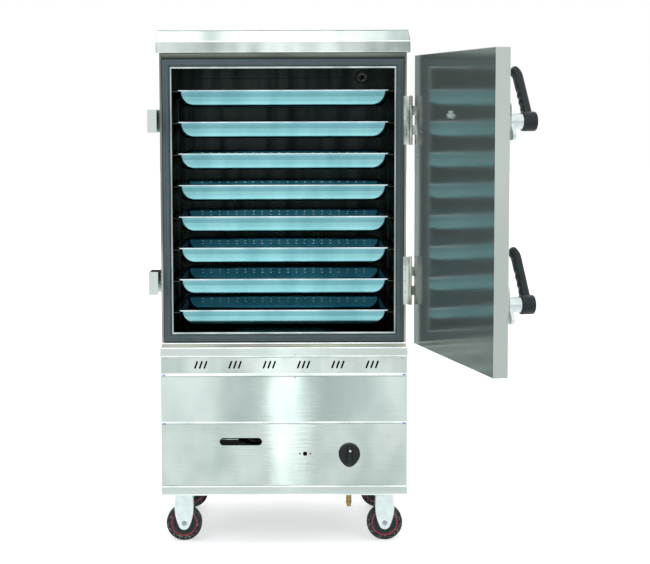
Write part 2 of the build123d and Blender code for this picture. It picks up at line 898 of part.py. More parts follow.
# Base frame: two rings of angle, corner posts, castor gussets and the burner's rails
post_x = base_width / 2 - rail_sheet
post_y = base_depth / 2 - rail_sheet
inlet_y = base_front + inlet_setback
with BuildPart() as base_frame:
    angle_ring(castor_height, castor_height)
    angle_ring(base_top - rail, base_top - rail_sheet)
    for side in (-1, 1):
        for end in (-1, 1):
            with BuildSketch(Plane.XY.offset(castor_height)):
                with Locations((side * (post_x - rail_sheet / 2), end * (post_y - rail / 2))):
                    Rectangle(rail_sheet, rail)
                with Locations((side * (post_x - rail / 2), end * (post_y - rail_sheet / 2))):
                    Rectangle(rail, rail_sheet)
            extrude(amount=base_height)
            with BuildSketch(Plane.XY.offset(castor_height)):
                gusset_x = side * (base_width - gusset_width) / 2
                with Locations((gusset_x, end * (base_depth - gusset_depth) / 2)):
                    Rectangle(gusset_width, gusset_depth)
            extrude(amount=rail_sheet)
        with BuildSketch(Plane.XY.offset(castor_height + burner_rail_height)):
            with Locations((side * (post_x - rail_sheet - bar / 2), 0)):
                Rectangle(bar, 2 * post_y - 2 * rail_sheet)
            with Locations((0, side * (burner_radius - burner_channel / 2))):
                Rectangle(2 * post_x - 2 * rail_sheet, bar)
        extrude(amount=rail_sheet)
    with BuildSketch(Plane.XY.offset(castor_height)):
        with Locations((knob_x, (base_front + inlet_y + inlet_nut_radius) / 2)):
            Rectangle(inlet_bracket_width, inlet_setback + inlet_nut_radius)
    extrude(amount=rail_sheet)
    with BuildSketch(Plane.XY.offset(castor_height)):
        with Locations((knob_x, inlet_y)):
            Circle(inlet_radius)
    extrude(amount=rail_sheet, mode=Mode.SUBTRACT)
save(base_frame, "base_frame")


# Side sheets of the base, a step inside the rails' outer faces
with BuildPart() as base_side_panels:
    with BuildSketch(Plane.XY.offset(panels_bottom)):
        with GridLocations(base_width - 2 * panel_step - sheet, 1, 2, 1):
            Rectangle(sheet, base_depth - 2 * panel_step)
    extrude(amount=panels_top - panels_bottom)
save(base_side_panels, "base_side_panels")

drain_height = tank_bottom + drain_up
filler_height = tank_bottom + filler_up
between_sides = base_width - 2 * panel_step - 2 * sheet
with BuildPart() as base_rear_panel:
    with BuildSketch(front_view(base_back - panel_step)):
        with Locations((0, (panels_bottom + panels_top) / 2)):
            Rectangle(between_sides, panels_top - panels_bottom)
        with Locations((drain_x, drain_height)):
            Circle(drain_radius, mode=Mode.SUBTRACT)
        with Locations((filler_x, filler_height)):
            Circle(filler_radius, mode=Mode.SUBTRACT)
    extrude(amount=sheet)
save(base_rear_panel, "base_rear_panel")


def front_sheet(bottom, top):
    """One front sheet of the base with its upper and lower edges folded inwards."""
    middle = (bottom + top) / 2
    with BuildSketch(front_view(panel_face + panel_return)) as block:
        with Locations((0, middle)):
            Rectangle(between_sides, top - bottom)
    extrude(block.sketch, amount=panel_return)
    with BuildSketch(front_view(panel_face + panel_return)) as hollow:
        with Locations((0, middle)):
            Rectangle(between_sides, top - bottom - 2 * sheet)
    extrude(hollow.sketch, amount=panel_return - sheet, mode=Mode.SUBTRACT)
    with BuildSketch(front_view(panel_face + panel_return)) as post_room:
        for side in (-1, 1):
            with Locations((side * (post_x - rail / 2), middle)):
                Rectangle(rail, top - bottom)
    extrude(post_room.sketch, amount=panel_return - sheet, mode=Mode.SUBTRACT)


# Vent strip with groups of slanted slots
with BuildPart() as vent_strip:
    front_sheet(strip_bottom, panels_top)
    with BuildSketch(front_view(panel_face + sheet)):
        with Locations((vent_middle_x, (strip_bottom + panels_top) / 2)):
            with GridLocations(vent_pitch, 1, vent_count, 1):
                with GridLocations(vent_slot_pitch, 1, vent_slots, 1):
                    SlotOverall(vent_slot_length, vent_slot_width, rotation=vent_slot_tilt)
    extrude(amount=sheet, mode=Mode.SUBTRACT)
save(vent_strip, "vent_strip")

# Upper front panel, with a proud bead along its upper edge
with BuildPart() as upper_front_panel:
    front_sheet(split_height, strip_bottom)
    with BuildSketch(front_view(panel_face)):
        with Locations((0, strip_bottom - strip_bead / 2)):
            Rectangle(between_sides, strip_bead)
    extrude(amount=strip_bead_proud)
    chamfer(upper_front_panel.faces().sort_by(Axis.Y)[0].edges().filter_by(Axis.X), strip_bead_bevel)
save(upper_front_panel, "upper_front_panel")

# Control panel: the ignition slot, three small holes and the knob's hole
with BuildPart() as control_panel:
    front_sheet(panels_bottom, split_height)
    with BuildSketch(front_view(panel_face + sheet)):
        with Locations((ignition_slot_x, castor_height + ignition_slot_up)):
            SlotOverall(ignition_slot_width, ignition_slot_height)
        with Locations((mark_hole_x, control_height)):
            Circle(mark_hole / 2)
            with GridLocations(mark_screw_spread, 1, 2, 1):
                Circle(mark_screw_hole / 2)
        with Locations((knob_x, control_height)):
            Circle(spindle_hole)
    extrude(amount=sheet, mode=Mode.SUBTRACT)
save(control_panel, "control_panel")

# Water tank: an open box under the chamber's floor, with its welded inlet stub
filler_end = base_back + filler_out


def tank_block(inset):
    """The tank's outline as a block with a rounded foot, set in by inset."""
    with BuildPart() as block:
        with BuildSketch(Plane.XY.offset(tank_bottom + inset)):
            Rectangle(tank_width - 2 * inset, tank_depth - 2 * inset)
        extrude(amount=tank_height)
        fillet(block.edges().group_by(Axis.Z)[0], tank_foot_radius - inset)
        split(bisect_by=Plane.XY.offset(tank_top), keep=Keep.BOTTOM)
    return block


with BuildPart() as water_tank:
    add(tank_block(0).part)
    add(tank_block(sheet).part, mode=Mode.SUBTRACT)
    with BuildSketch(front_view(tank_depth / 2)):
        with Locations((drain_x, drain_height)):
            Circle(drain_radius)
    extrude(amount=sheet, mode=Mode.SUBTRACT)
    with BuildSketch(front_view(filler_end - filler_spigot)):
        with Locations((filler_x, filler_height)):
            Circle(filler_radius)
    extrude(amount=filler_end - filler_spigot - tank_depth / 2 + sheet)
    with BuildSketch(front_view(filler_end)):
        with Locations((filler_x, filler_height)):
            Circle(filler_spigot_radius)
    extrude(amount=filler_spigot + sheet)
    with BuildSketch(front_view(filler_end)):
        with Locations((filler_x, filler_height)):
            Circle(filler_bore)
    extrude(amount=filler_end - tank_depth / 2 + 2 * sheet, mode=Mode.SUBTRACT)
save(water_tank, "water_tank")

# Slotted plate over the steam opening in the chamber's floor
with BuildPart() as steam_plate:
    plate_width = steam_opening_width + 2 * steam_plate_overlap
    plate_depth = steam_opening_depth + 2 * steam_plate_overlap
    with BuildSketch(Plane.XY.offset(chamber_floor)):
        RectangleRounded(plate_width, plate_depth, steam_plate_overlap)
        with GridLocations(
            steam_opening_width / steam_column_count,
            steam_opening_depth / steam_row_count,
            steam_column_count,
            steam_row_count,
        ):
            Rectangle(steam_slot_length, steam_slot_width, mode=Mode.SUBTRACT)
    extrude(amount=steam_plate_sheet)
save(steam_plate, "steam_plate")

# Drain: a pipe from the tank out through the back, with a quarter-turn valve
drain_end = base_back + drain_out
valve_middle_y = base_back + drain_out / 2
with BuildPart() as drain_valve:
    with BuildSketch(front_view(drain_end)):
        with Locations((drain_x, drain_height)):
            Circle(drain_radius)
    extrude(amount=drain_end - tank_depth / 2 + sheet)
    with BuildSketch(front_view(valve_middle_y + drain_valve_length / 2)):
        with Locations((drain_x, drain_height)):
            RegularPolygon(drain_valve_radius, 6)
    extrude(amount=drain_valve_length)
    with BuildSketch(Plane.XY.offset(drain_height)):
        with Locations((drain_x, valve_middle_y)):
            Circle(drain_stem_radius)
    extrude(amount=drain_valve_radius + drain_stem_height)
    with BuildSketch(front_view(drain_end)):
        with Locations((drain_x, drain_height)):
            Circle(drain_bore)
    extrude(amount=drain_bore_depth, mode=Mode.SUBTRACT)
save(drain_valve, "drain_valve")

lever_level = drain_height + drain_valve_radius + seat_gap
with BuildPart() as drain_lever:
    with BuildSketch(Plane.XY.offset(lever_level)):
        with Locations((drain_x + drain_lever_length / 2, valve_middle_y)):
            Rectangle(drain_lever_length, drain_lever_width)
        with Locations((drain_x, valve_middle_y)):
            Circle(drain_lever_eye)
        with Locations((drain_x + drain_lever_length, valve_middle_y)):
            Circle(drain_lever_width / 2)
        with Locations((drain_x, valve_middle_y)):
            Circle(drain_stem_radius + running_gap, mode=Mode.SUBTRACT)
    extrude(amount=drain_lever_thickness)
save(drain_lever, "drain_lever")

# Gas valve behind the control panel, with its turning spindle and knob in front
valve_front = panel_face + valve_setback
valve_back = valve_front + valve_length
valve_flat = valve_radius * cos(radians(30))
with BuildPart() as gas_valve:
    with BuildSketch(front_view(valve_back)):
        with Locations((knob_x, control_height)):
            RegularPolygon(valve_radius, 6)
    extrude(amount=valve_length)
    with BuildSketch(front_view(valve_front)):
        with Locations((knob_x, control_height)):
            Circle(valve_neck_radius)
    extrude(amount=valve_setback - sheet)
    with BuildSketch(front_view(panel_face + sheet)):
        with Locations((knob_x, control_height)):
            Circle(spindle_radius + running_gap)
    extrude(amount=-valve_length / 2, mode=Mode.SUBTRACT)
save(gas_valve, "gas_valve")

knob_back = panel_face - knob_gap
with BuildPart() as valve_spindle:
    with BuildSketch(front_view(panel_face + sheet + valve_length / 2 - seat_gap)):
        with Locations((knob_x, control_height)):
            Circle(spindle_radius)
    extrude(amount=valve_length / 2 + sheet + knob_gap + knob_skirt - seat_gap)
save(valve_spindle, "valve_spindle")

with BuildPart() as control_knob:
    with BuildSketch(front_view(knob_back)):
        with Locations((knob_x, control_height)):
            Circle(knob_radius)
    extrude(amount=knob_skirt, taper=knob_skirt_draft)
    with BuildSketch(front_view(knob_back - knob_skirt)):
        with Locations((knob_x, control_height + (knob_bar_up - knob_bar_down) / 2)):
            SlotOverall(knob_bar_up + knob_bar_down, knob_bar_width, rotation=90)
    extrude(amount=knob_depth - knob_skirt, taper=knob_bar_draft)
    fillet(control_knob.faces().sort_by(Axis.Y)[0].edges(), knob_edge)
    with BuildSketch(front_view(knob_back)):
        with Locations((knob_x, control_height)):
            Circle(spindle_radius)
    extrude(amount=knob_skirt, mode=Mode.SUBTRACT)
save(control_knob, "control_knob")

# Gas inlet: a hose barb with a plain nose, held by its nuts in the frame's bracket
with BuildPart() as gas_inlet:
    barb = (inlet_drop - inlet_nose) / (inlet_barbs + 1)
    with BuildSketch(Plane(origin=(knob_x, inlet_y, 0), x_dir=(1, 0, 0), z_dir=(0, -1, 0))):
        with BuildLine():
            tip = castor_height - inlet_drop
            low = tip + inlet_nose
            points = [(inlet_bore, castor_height + rail), (inlet_bore, tip)]
            points += [(inlet_nose_radius, tip), (inlet_nose_radius, low)]
            for number in range(inlet_barbs):
                points.append((inlet_radius, low + number * barb))
                points.append((inlet_barb_radius, low + (number + 1) * barb))
            points.append((inlet_radius, low + inlet_barbs * barb))
            points.append((inlet_radius, castor_height + rail))
            Polyline(*points, close=True)
        make_face()
    revolve(axis=Axis((knob_x, inlet_y, 0), (0, 0, 1)))
    for level in (castor_height - inlet_nut, castor_height + rail_sheet):
        with BuildSketch(Plane.XY.offset(level)):
            with Locations((knob_x, inlet_y)):
                RegularPolygon(inlet_nut_radius, 6)
                Circle(inlet_radius - inlet_nut_bite, mode=Mode.SUBTRACT)
        extrude(amount=inlet_nut)
save(gas_inlet, "gas_inlet")

# Gas pipes: inlet up to the valve, and valve back to the burner's mixing tube
burner_bottom = castor_height + burner_rail_height + rail_sheet
mixer_height = burner_bottom + burner_depth / 2
feed_y = valve_back + feed_run
mixer_mouth = feed_y + feed_ahead
with BuildPart() as gas_pipe:
    with BuildSketch(Plane.XY.offset(castor_height + rail)):
        with Locations((knob_x, inlet_y)):
            Circle(pipe_radius)
    extrude(amount=control_height - valve_flat - castor_height - rail)
    with BuildLine() as feed:
        FilletPolyline(
            (knob_x, valve_back, control_height),
            (knob_x, feed_y, control_height),
            (knob_x, feed_y, mixer_height),
            (0, feed_y, mixer_height),
            (0, mixer_mouth, mixer_height),
            radius=pipe_bend,
        )
    with BuildSketch(Plane(origin=feed.line @ 0, z_dir=feed.line % 0)):
        Circle(pipe_radius)
    sweep(path=feed.line)
save(gas_pipe, "gas_pipe")

# Burner: two cast rings joined by arms, and a mixing tube with its cup to the front
with BuildPart() as burner:
    with BuildSketch(Plane.XY.offset(burner_bottom)):
        Circle(burner_radius)
        Circle(burner_radius - burner_channel, mode=Mode.SUBTRACT)
        Circle(burner_inner_radius)
        Circle(burner_inner_radius - burner_channel, mode=Mode.SUBTRACT)
        with PolarLocations((burner_radius + burner_inner_radius - burner_channel) / 2, 4, start_angle=45):
            Rectangle(burner_radius - burner_inner_radius, burner_arm)
    extrude(amount=burner_depth)
    with BuildSketch(front_view(-burner_inner_radius + burner_channel / 2)):
        with Locations((0, mixer_height)):
            Circle(burner_depth / 2 - mixer_tube_slack)
    extrude(amount=-mixer_mouth - burner_inner_radius + burner_channel / 2 - mixer_cup)
    with BuildSketch(front_view(mixer_mouth + mixer_cup)):
        with Locations((0, mixer_height)):
            Circle(mixer_radius)
            Circle(pipe_radius + mixer_throat_gap, mode=Mode.SUBTRACT)
    extrude(amount=mixer_cup)
save(burner, "burner")

# Castor layout
castor_x = base_width / 2 - castor_inset_x
castor_y = base_depth / 2 - castor_inset_y
plate_bottom = castor_height - castor_plate_sheet


def fork_leg(x, y):
    """One fork leg: upright sides, a slight belly, and a rounded tip round the axle."""
    top = plate_bottom
    belly = wheel_radius + fork_belly_up
    waist = wheel_radius + fork_waist_up
    knee = wheel_radius - fork_knee_down
    half_top = fork_top_width / 2
    half_belly = fork_belly_width / 2
    half_waist = fork_waist_width / 2
    half_knee = fork_knee_width / 2
    with BuildSketch(front_view(y)) as leg:
        with BuildLine():
            Line((x - half_top, top), (x + half_top, top))
            Line((x + half_top, top), (x + half_belly, belly))
            ThreePointArc((x + half_belly, belly), (x + half_waist, waist), (x + half_knee, knee))
            ThreePointArc((x + half_knee, knee), (x, wheel_radius - fork_tip_drop), (x - half_knee, knee))
            ThreePointArc((x - half_knee, knee), (x - half_waist, waist), (x - half_belly, belly))
            Line((x - half_belly, belly), (x - half_top, top))
        make_face()
        with Locations((x, wheel_radius)):
            Circle(axle_radius, mode=Mode.SUBTRACT)
    extrude(leg.sketch, amount=fork_sheet)


# Fixed front castors: a top plate and two legs pressed from one sheet
with BuildPart() as rigid_forks:
    for side in (-1, 1):
        for leg_y in (-castor_y - fork_gap / 2, -castor_y + fork_gap / 2 + fork_sheet):
            fork_leg(side * castor_x, leg_y)
        with BuildSketch(Plane.XY.offset(plate_bottom)):
            with Locations((side * castor_x, -castor_y)):
                RectangleRounded(castor_plate_x, castor_plate_y, castor_plate_corner)
        extrude(amount=castor_plate_sheet)
save(rigid_forks, "rigid_forks")


def axle(x, y):
    """A bolt through both legs and the wheel, with a domed head and a nut."""
    reach = fork_gap / 2 + fork_sheet
    with BuildSketch(front_view(y + reach)) as shank:
        with Locations((x, wheel_radius)):
            Circle(axle_radius)
    extrude(shank.sketch, amount=2 * reach)
    with BuildSketch(front_view(y - reach)) as head:
        with Locations((x, wheel_radius)):
            Circle(axle_head_radius)
    extrude(head.sketch, amount=axle_head, taper=axle_head_draft)
    with BuildSketch(front_view(y + reach)) as nut:
        with Locations((x, wheel_radius)):
            RegularPolygon(axle_head_radius, 6)
    extrude(nut.sketch, amount=-axle_head)


with BuildPart() as front_axles:
    for side in (-1, 1):
        axle(side * castor_x, -castor_y)
save(front_axles, "front_axles")


def wheel(x, y):
    """A wheel with a rounded tread, a recessed web and a proud hub, bored for the axle."""
    half = wheel_width / 2
    with BuildPart() as disc:
        with BuildSketch(Plane(origin=(x, y, wheel_radius), x_dir=(1, 0, 0), z_dir=(0, 0, 1))):
            with BuildLine():
                Polyline(
                    (axle_radius + running_gap, -half - wheel_hub_proud),
                    (wheel_hub_radius, -half - wheel_hub_proud),
                    (wheel_hub_radius, -half + wheel_recess),
                    (wheel_recess_radius, -half + wheel_recess),
                    (wheel_recess_radius + wheel_recess_slope, -half),
                    (wheel_radius - wheel_shoulder, -half),
                )
                ThreePointArc(
                    (wheel_radius - wheel_shoulder, -half),
                    (wheel_radius, 0),
                    (wheel_radius - wheel_shoulder, half),
                )
                Polyline(
                    (wheel_radius - wheel_shoulder, half),
                    (wheel_recess_radius + wheel_recess_slope, half),
                    (wheel_recess_radius, half - wheel_recess),
                    (wheel_hub_radius, half - wheel_recess),
                    (wheel_hub_radius, half + wheel_hub_proud),
                    (axle_radius + running_gap, half + wheel_hub_proud),
                    (axle_radius + running_gap, -half - wheel_hub_proud),
                )
            make_face()
        revolve(axis=Axis((x, y, wheel_radius), (0, 1, 0)))
    return disc


save(wheel(-castor_x, -castor_y), "front_left_wheel")
save(wheel(castor_x, -castor_y), "front_right_wheel")
save(wheel(-castor_x, castor_y), "rear_left_wheel")
save(wheel(castor_x, castor_y), "rear_right_wheel")

# Swivel castors at the back: top plates with king pins, and forks that turn on them
crown_top = plate_bottom - seat_gap
crown_bottom = crown_top - swivel_crown
with BuildPart() as swivel_plates:
    for side in (-1, 1):
        swivel_x = side * (castor_x - swivel_trail)
        with BuildSketch(Plane.XY.offset(plate_bottom)):
            with Locations((swivel_x, castor_y)):
                RectangleRounded(castor_plate_x, castor_plate_y, castor_plate_corner)
        extrude(amount=castor_plate_sheet)
        with BuildSketch(Plane.XY.offset(crown_bottom - seat_gap)):
            with Locations((swivel_x, castor_y)):
                Circle(king_pin_radius)
        extrude(amount=plate_bottom - crown_bottom + seat_gap)
        with BuildSketch(Plane.XY.offset(crown_bottom - seat_gap - king_head)):
            with Locations((swivel_x, castor_y)):
                Circle(king_head_radius)
        extrude(amount=king_head)
save(swivel_plates, "swivel_plates")


def swivel_fork(side):
    """A crown round the king pin and two legs that slant out to the trailing axle."""
    swivel_x = side * (castor_x - swivel_trail)
    axle_x = side * castor_x
    with BuildPart() as fork:
        with BuildSketch(Plane.XY.offset(crown_bottom)):
            with Locations((swivel_x, castor_y)):
                Circle(swivel_crown_radius)
        extrude(amount=swivel_crown)
        for leg_y in (castor_y - fork_gap / 2, castor_y + fork_gap / 2 + fork_sheet):
            with BuildSketch(front_view(leg_y)):
                with BuildSketch(mode=Mode.PRIVATE) as outline:
                    with Locations((axle_x, wheel_radius)):
                        Circle(fork_tip_radius)
                    with Locations((swivel_x, crown_bottom + swivel_crown / 2)):
                        Rectangle(swivel_crown_width, swivel_crown)
                make_hull(outline.sketch.edges())
                with Locations((axle_x, wheel_radius)):
                    Circle(axle_radius, mode=Mode.SUBTRACT)
            extrude(amount=fork_sheet)
        with BuildSketch(Plane.XY.offset(crown_bottom)):
            with Locations((swivel_x, castor_y)):
                Circle(king_pin_radius + running_gap)
        extrude(amount=swivel_crown, mode=Mode.SUBTRACT)
    return fork


for side, name in ((-1, "left"), (1, "right")):
    save(swivel_fork(side), f"rear_{name}_fork")
    with BuildPart() as rear_axle:
        axle(side * castor_x, castor_y)
    save(rear_axle, f"rear_{name}_axle")
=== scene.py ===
import json

import bmesh
import bpy
import numpy as np
from math import cos, pi, radians, sin
from mathutils import Matrix, Vector


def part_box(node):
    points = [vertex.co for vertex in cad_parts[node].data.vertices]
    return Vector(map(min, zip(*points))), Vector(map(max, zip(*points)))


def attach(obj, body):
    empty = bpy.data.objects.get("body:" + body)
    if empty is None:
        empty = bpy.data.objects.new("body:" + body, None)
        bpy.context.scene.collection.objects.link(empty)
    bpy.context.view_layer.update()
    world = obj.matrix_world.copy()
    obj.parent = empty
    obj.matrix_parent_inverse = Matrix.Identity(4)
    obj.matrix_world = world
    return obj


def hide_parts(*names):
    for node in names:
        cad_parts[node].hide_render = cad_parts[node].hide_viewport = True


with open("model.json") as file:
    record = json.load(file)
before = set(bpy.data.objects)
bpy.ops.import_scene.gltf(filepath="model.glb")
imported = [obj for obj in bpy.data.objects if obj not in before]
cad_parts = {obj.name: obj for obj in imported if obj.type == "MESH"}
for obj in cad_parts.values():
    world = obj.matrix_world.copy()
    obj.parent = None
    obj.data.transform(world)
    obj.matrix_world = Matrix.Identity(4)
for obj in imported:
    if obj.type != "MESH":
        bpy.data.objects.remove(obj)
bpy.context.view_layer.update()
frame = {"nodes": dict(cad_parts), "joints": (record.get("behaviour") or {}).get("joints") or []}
mm = 0.001
scene = bpy.context.scene
scene.view_settings.view_transform = "Standard"
jointNamed = {joint["name"]: joint for joint in frame["joints"]}
print("frame loaded:", len(frame["nodes"]), "parts")


# The view of the photograph: a long lens at chest height, pitched down a little
view = {
    "distance": 5.142,      # in front of the middle of the cabinet, in metres
    "height": 1.207,
    "pitch": 5.52,          # degrees below level
    "roll": -0.18,
    "focalPixels": 1775,
    "imageWidth": 650,
    "middleX": 283.7,       # where the lens points, in pixels from the left
    "sensor": 36.0,
}


def placeCamera():
    lens = bpy.data.cameras.new("photoView")
    lens.sensor_width = view["sensor"]
    lens.lens = view["sensor"] * view["focalPixels"] / view["imageWidth"]
    lens.shift_x = 0.5 - view["middleX"] / view["imageWidth"]
    lens.clip_end = 60
    body = bpy.data.objects.new("photoView", lens)
    scene.collection.objects.link(body)
    body.matrix_world = (
        Matrix.Translation((0, -view["distance"], view["height"]))
        @ Matrix.Rotation(radians(90 - view["pitch"]), 4, "X")
        @ Matrix.Rotation(radians(view["roll"]), 4, "Z")
    )
    scene.camera = body


placeCamera()


# Colours are written as sRGB hex and turned to linear here
def linear(hexCode):
    channels = [int(hexCode[i:i + 2], 16) / 255 for i in (0, 2, 4)]
    return tuple(
        c / 12.92 if c <= 0.04045 else ((c + 0.055) / 1.055) ** 2.4 for c in channels
    ) + (1.0,)


# One node: lower-case names are its settings, and the others, or i with a number, are its inputs,
# each a value or another node's socket
def addNode(tree, kind, **given):
    node = tree.nodes.new("ShaderNode" + kind)
    for name, value in given.items():
        numbered = name[1:].isdigit()
        key = int(name[1:]) if numbered else name.replace("_", " ")
        if name.islower() and not numbered:
            setattr(node, name, value)
        elif isinstance(value, bpy.types.NodeSocket):
            tree.links.new(value, node.inputs[key])
        else:
            node.inputs[key].default_value = value
    return node


# A material whose shader takes constants on the sockets that are named
def newMaterial(name, **sockets):
    material = bpy.data.materials.new(name)
    material.use_nodes = True
    tree = material.node_tree
    shader = tree.nodes["Principled BSDF"]
    for key, value in sockets.items():
        shader.inputs[key.replace("_", " ")].default_value = value
    return material, tree, shader


# A soft pattern on the piece's own place in metres; stretch is how fine it is along x, y and z
def pattern(tree, stretch, detail=2.0, shift=(0.0, 0.0, 0.0)):
    place = addNode(tree, "TexCoord").outputs["Object"]
    scaled = addNode(tree, "Mapping", Vector=place, Scale=stretch, Location=shift)
    return addNode(
        tree, "TexNoise", Vector=scaled.outputs["Vector"], Scale=1.0, Detail=detail
    ).outputs["Fac"]


# A whole skin: the tint is a pattern and two hex colours, the wear is a pattern and two values of
# roughness, and each dent is a pattern and a depth in metres, laid over the one before
def skin(tree, shader, tint, wear, *dents):
    amount, dark, light = tint
    mixed = addNode(tree, "Mix", data_type="RGBA", i0=amount, i6=linear(dark), i7=linear(light))
    tree.links.new(mixed.outputs[2], shader.inputs["Base Color"])
    if wear:
        amount, start, end = wear
        worn = addNode(tree, "MapRange", Value=amount, To_Min=start, To_Max=end)
        tree.links.new(worn.outputs["Result"], shader.inputs["Roughness"])
    under = None
    for height, depth in dents:
        dented = addNode(tree, "Bump", Height=height, Strength=1.0, Distance=depth)
        if under is not None:
            tree.links.new(under, dented.inputs["Normal"])
        under = dented.outputs["Normal"]
    tree.links.new(under, shader.inputs["Normal"])


# Rolled stainless sheet with a satin finish: the rolling lines run level, so reflections smear
# upwards, and the thin sheet is never quite flat, so they wander
def stainlessSheet(
    name, dark, light, roughness, lineDepth=0.02, waveDepth=0.6, lineAxis=2, shift=0.0,
    patch=(14.0, 14.0, 5.0), waveUp=1.7, fade=0.0,
):
    material, tree, shader = newMaterial(name, Metallic=1.0)
    apart = (shift, 0.3 * shift, 0.7 * shift)
    lineScale = [9.0, 9.0, 9.0]
    lineScale[lineAxis] = 1000 / 4.0        # lines drawn 4 mm apart, coarser than the real 0.2 mm
    lines = pattern(tree, lineScale, 3.0)
    waves = pattern(tree, (4.2, 4.2, waveUp), 1.0, apart)      # buckles some 240 mm wide
    smears = pattern(tree, patch, 2.0, apart)
    # painted shade: the tint gets darker to the right
    if fade:        # the tint gets darker to the right, by this much of its range per metre
        place = addNode(tree, "TexCoord").outputs["Object"]
        along = addNode(tree, "SeparateXYZ", Vector=place).outputs["X"]
        smears = addNode(
            tree, "Math", operation="MULTIPLY_ADD", i0=along, i1=-fade, i2=smears
        ).outputs[0]
    smears = addNode(tree, "MapRange", Value=smears, From_Min=0.35, From_Max=0.62).outputs[0]
    skin(
        tree, shader, (smears, dark, light), (lines, roughness * 0.8, roughness * 1.25),
        (waves, waveDepth * mm), (lines, lineDepth * mm),
    )
    return material


# Mirror-bright sheet with a haze of fine scratches: part of the light scatters, so what it
# mirrors stays pale, and level rolling lines smear it a little upwards
def brightSheet(name, dark, light, roughness):
    material, tree, shader = newMaterial(name, Metallic=0.62)
    smears = pattern(tree, (5.0, 5.0, 2.0), 3.0)
    lines = pattern(tree, (9.0, 9.0, 1000 / 5.0), 3.0)      # drawn 5 mm apart, really finer
    buckles = pattern(tree, (6.0, 6.0, 3.0), 1.0)
    skin(
        tree, shader, (smears, dark, light), (lines, roughness * 0.8, roughness * 1.3),
        (buckles, 0.8 * mm), (lines, 0.03 * mm),
    )
    return material


# The folded front sheet round the opening: a pale band, with painted shade in a dark gap beside
# the gasket, painted shade darkening its folded far edge and a painted shadow of the cap on its
# top.
# Measured from the gasket's outer edge, the gap turns into the band at 1.5 to 5 mm, and the darker
# folded far edge begins at 11 to 16 mm
def framedSheet(name, gap, band, halfX, halfZ, middleZ):
    material, tree, shader = newMaterial(name, Metallic=1.0)
    place = addNode(tree, "TexCoord").outputs["Object"]
    along = addNode(tree, "SeparateXYZ", Vector=place).outputs
    across = addNode(tree, "Math", operation="ABSOLUTE", i0=along["X"])
    level = addNode(tree, "Math", operation="SUBTRACT", i0=along["Z"], i1=middleZ * mm)
    level = addNode(tree, "Math", operation="ABSOLUTE", i0=level.outputs[0])
    side = addNode(tree, "Math", operation="SUBTRACT", i0=across.outputs[0], i1=halfX * mm)
    # painted shade: the dark gap is drawn wider above and below than at the sides
    stretch = 0.45      # above and below, the gap is drawn wider than at the sides
    over = addNode(
        tree, "Math", operation="MULTIPLY_ADD",
        i0=level.outputs[0], i1=stretch, i2=-stretch * halfZ * mm,
    )
    far = addNode(
        tree, "Math", operation="MAXIMUM", i0=side.outputs[0], i1=over.outputs[0]
    ).outputs[0]
    pale = addNode(tree, "MapRange", Value=far, From_Min=1.5 * mm, From_Max=5.0 * mm).outputs[0]
    # painted shade darkening the folded far edge
    foldShade = addNode(
        tree, "MapRange",
        Value=far, From_Min=11.0 * mm, From_Max=16.0 * mm, To_Min=1.0, To_Max=0.35,
    ).outputs[0]
    smears = addNode(
        tree, "MapRange",
        Value=pattern(tree, (5.0, 5.0, 5.0), 2.0), From_Min=0.35, From_Max=0.65, To_Min=0.55,
    ).outputs[0]
    # painted shadow of the cap: the sheet gets darker towards it
    capShadow = addNode(     # duller towards the cap, from 0.7 to 1.34 m up
        tree, "MapRange",
        Value=along["Z"], From_Min=0.7, From_Max=1.34, To_Min=1.0, To_Max=0.33,
    ).outputs[0]
    for part in (foldShade, smears, capShadow):
        pale = addNode(tree, "Math", operation="MULTIPLY", i0=pale, i1=part).outputs[0]
    skin(
        tree, shader, (pale, gap, band), (smears, 0.3, 0.18),
        (pattern(tree, (4.0, 4.0, 4.0), 1.0), 0.8 * mm),
    )
    return material


# Sheet that is bright outside and, past a depth along y, dark inside: soot and painted shade
def sootAndShadeSheet(name, outside, inside, edge):
    material, tree, shader = newMaterial(name, Metallic=1.0)
    place = addNode(tree, "TexCoord").outputs["Object"]
    along = addNode(tree, "SeparateXYZ", Vector=place).outputs
    outer = addNode(
        tree, "MapRange",
        Value=along["Y"], From_Min=(edge - 0.2) * mm, From_Max=edge * mm,
    ).outputs[0]
    skin(
        tree, shader, (outer, inside, outside), (pattern(tree, (14.0, 14.0, 5.0), 3.0), 0.16, 0.3),
        (pattern(tree, (4.2, 4.2, 1.7), 1.0), 1.0 * mm),
    )
    return material


# Silicone rubber extrusion: dull, slightly dusty
def siliconeRubber(name, dark, light):
    material, tree, shader = newMaterial(name, Roughness=0.55, IOR=1.43)
    skin(
        tree, shader, (pattern(tree, (40.0, 40.0, 40.0), 4.0), dark, light), None,
        (pattern(tree, (300.0, 300.0, 300.0)), 0.1 * mm),
    )
    return material


# Injection-moulded nylon with spark-eroded grain: matt, a touch lighter where it is handled
def mouldedNylon(name, dark, light, roughness=0.42, grain=0.9):
    material, tree, shader = newMaterial(name, IOR=1.53, Specular_IOR_Level=0.28)
    wear = pattern(tree, (26.0, 26.0, 26.0), 3.0)
    skin(
        tree, shader, (wear, dark, light), (wear, roughness * 1.15, roughness * 0.85),
        (pattern(tree, (1000 / grain,) * 3, 2.0), 0.06 * mm),
    )
    return material


# Black urethane tread that has rolled through dust, which stays in specks
def dustyTread(name, clean, dust, speck=4.0):
    material, tree, shader = newMaterial(name, Roughness=0.65, IOR=1.5, Specular_IOR_Level=0.28)
    specks = addNode(
        tree, "MapRange",
        Value=pattern(tree, (1000 / speck,) * 3, 3.0), From_Min=0.52, From_Max=0.7,
    ).outputs[0]
    skin(tree, shader, (specks, clean, dust), None, (specks, 0.1 * mm))
    return material


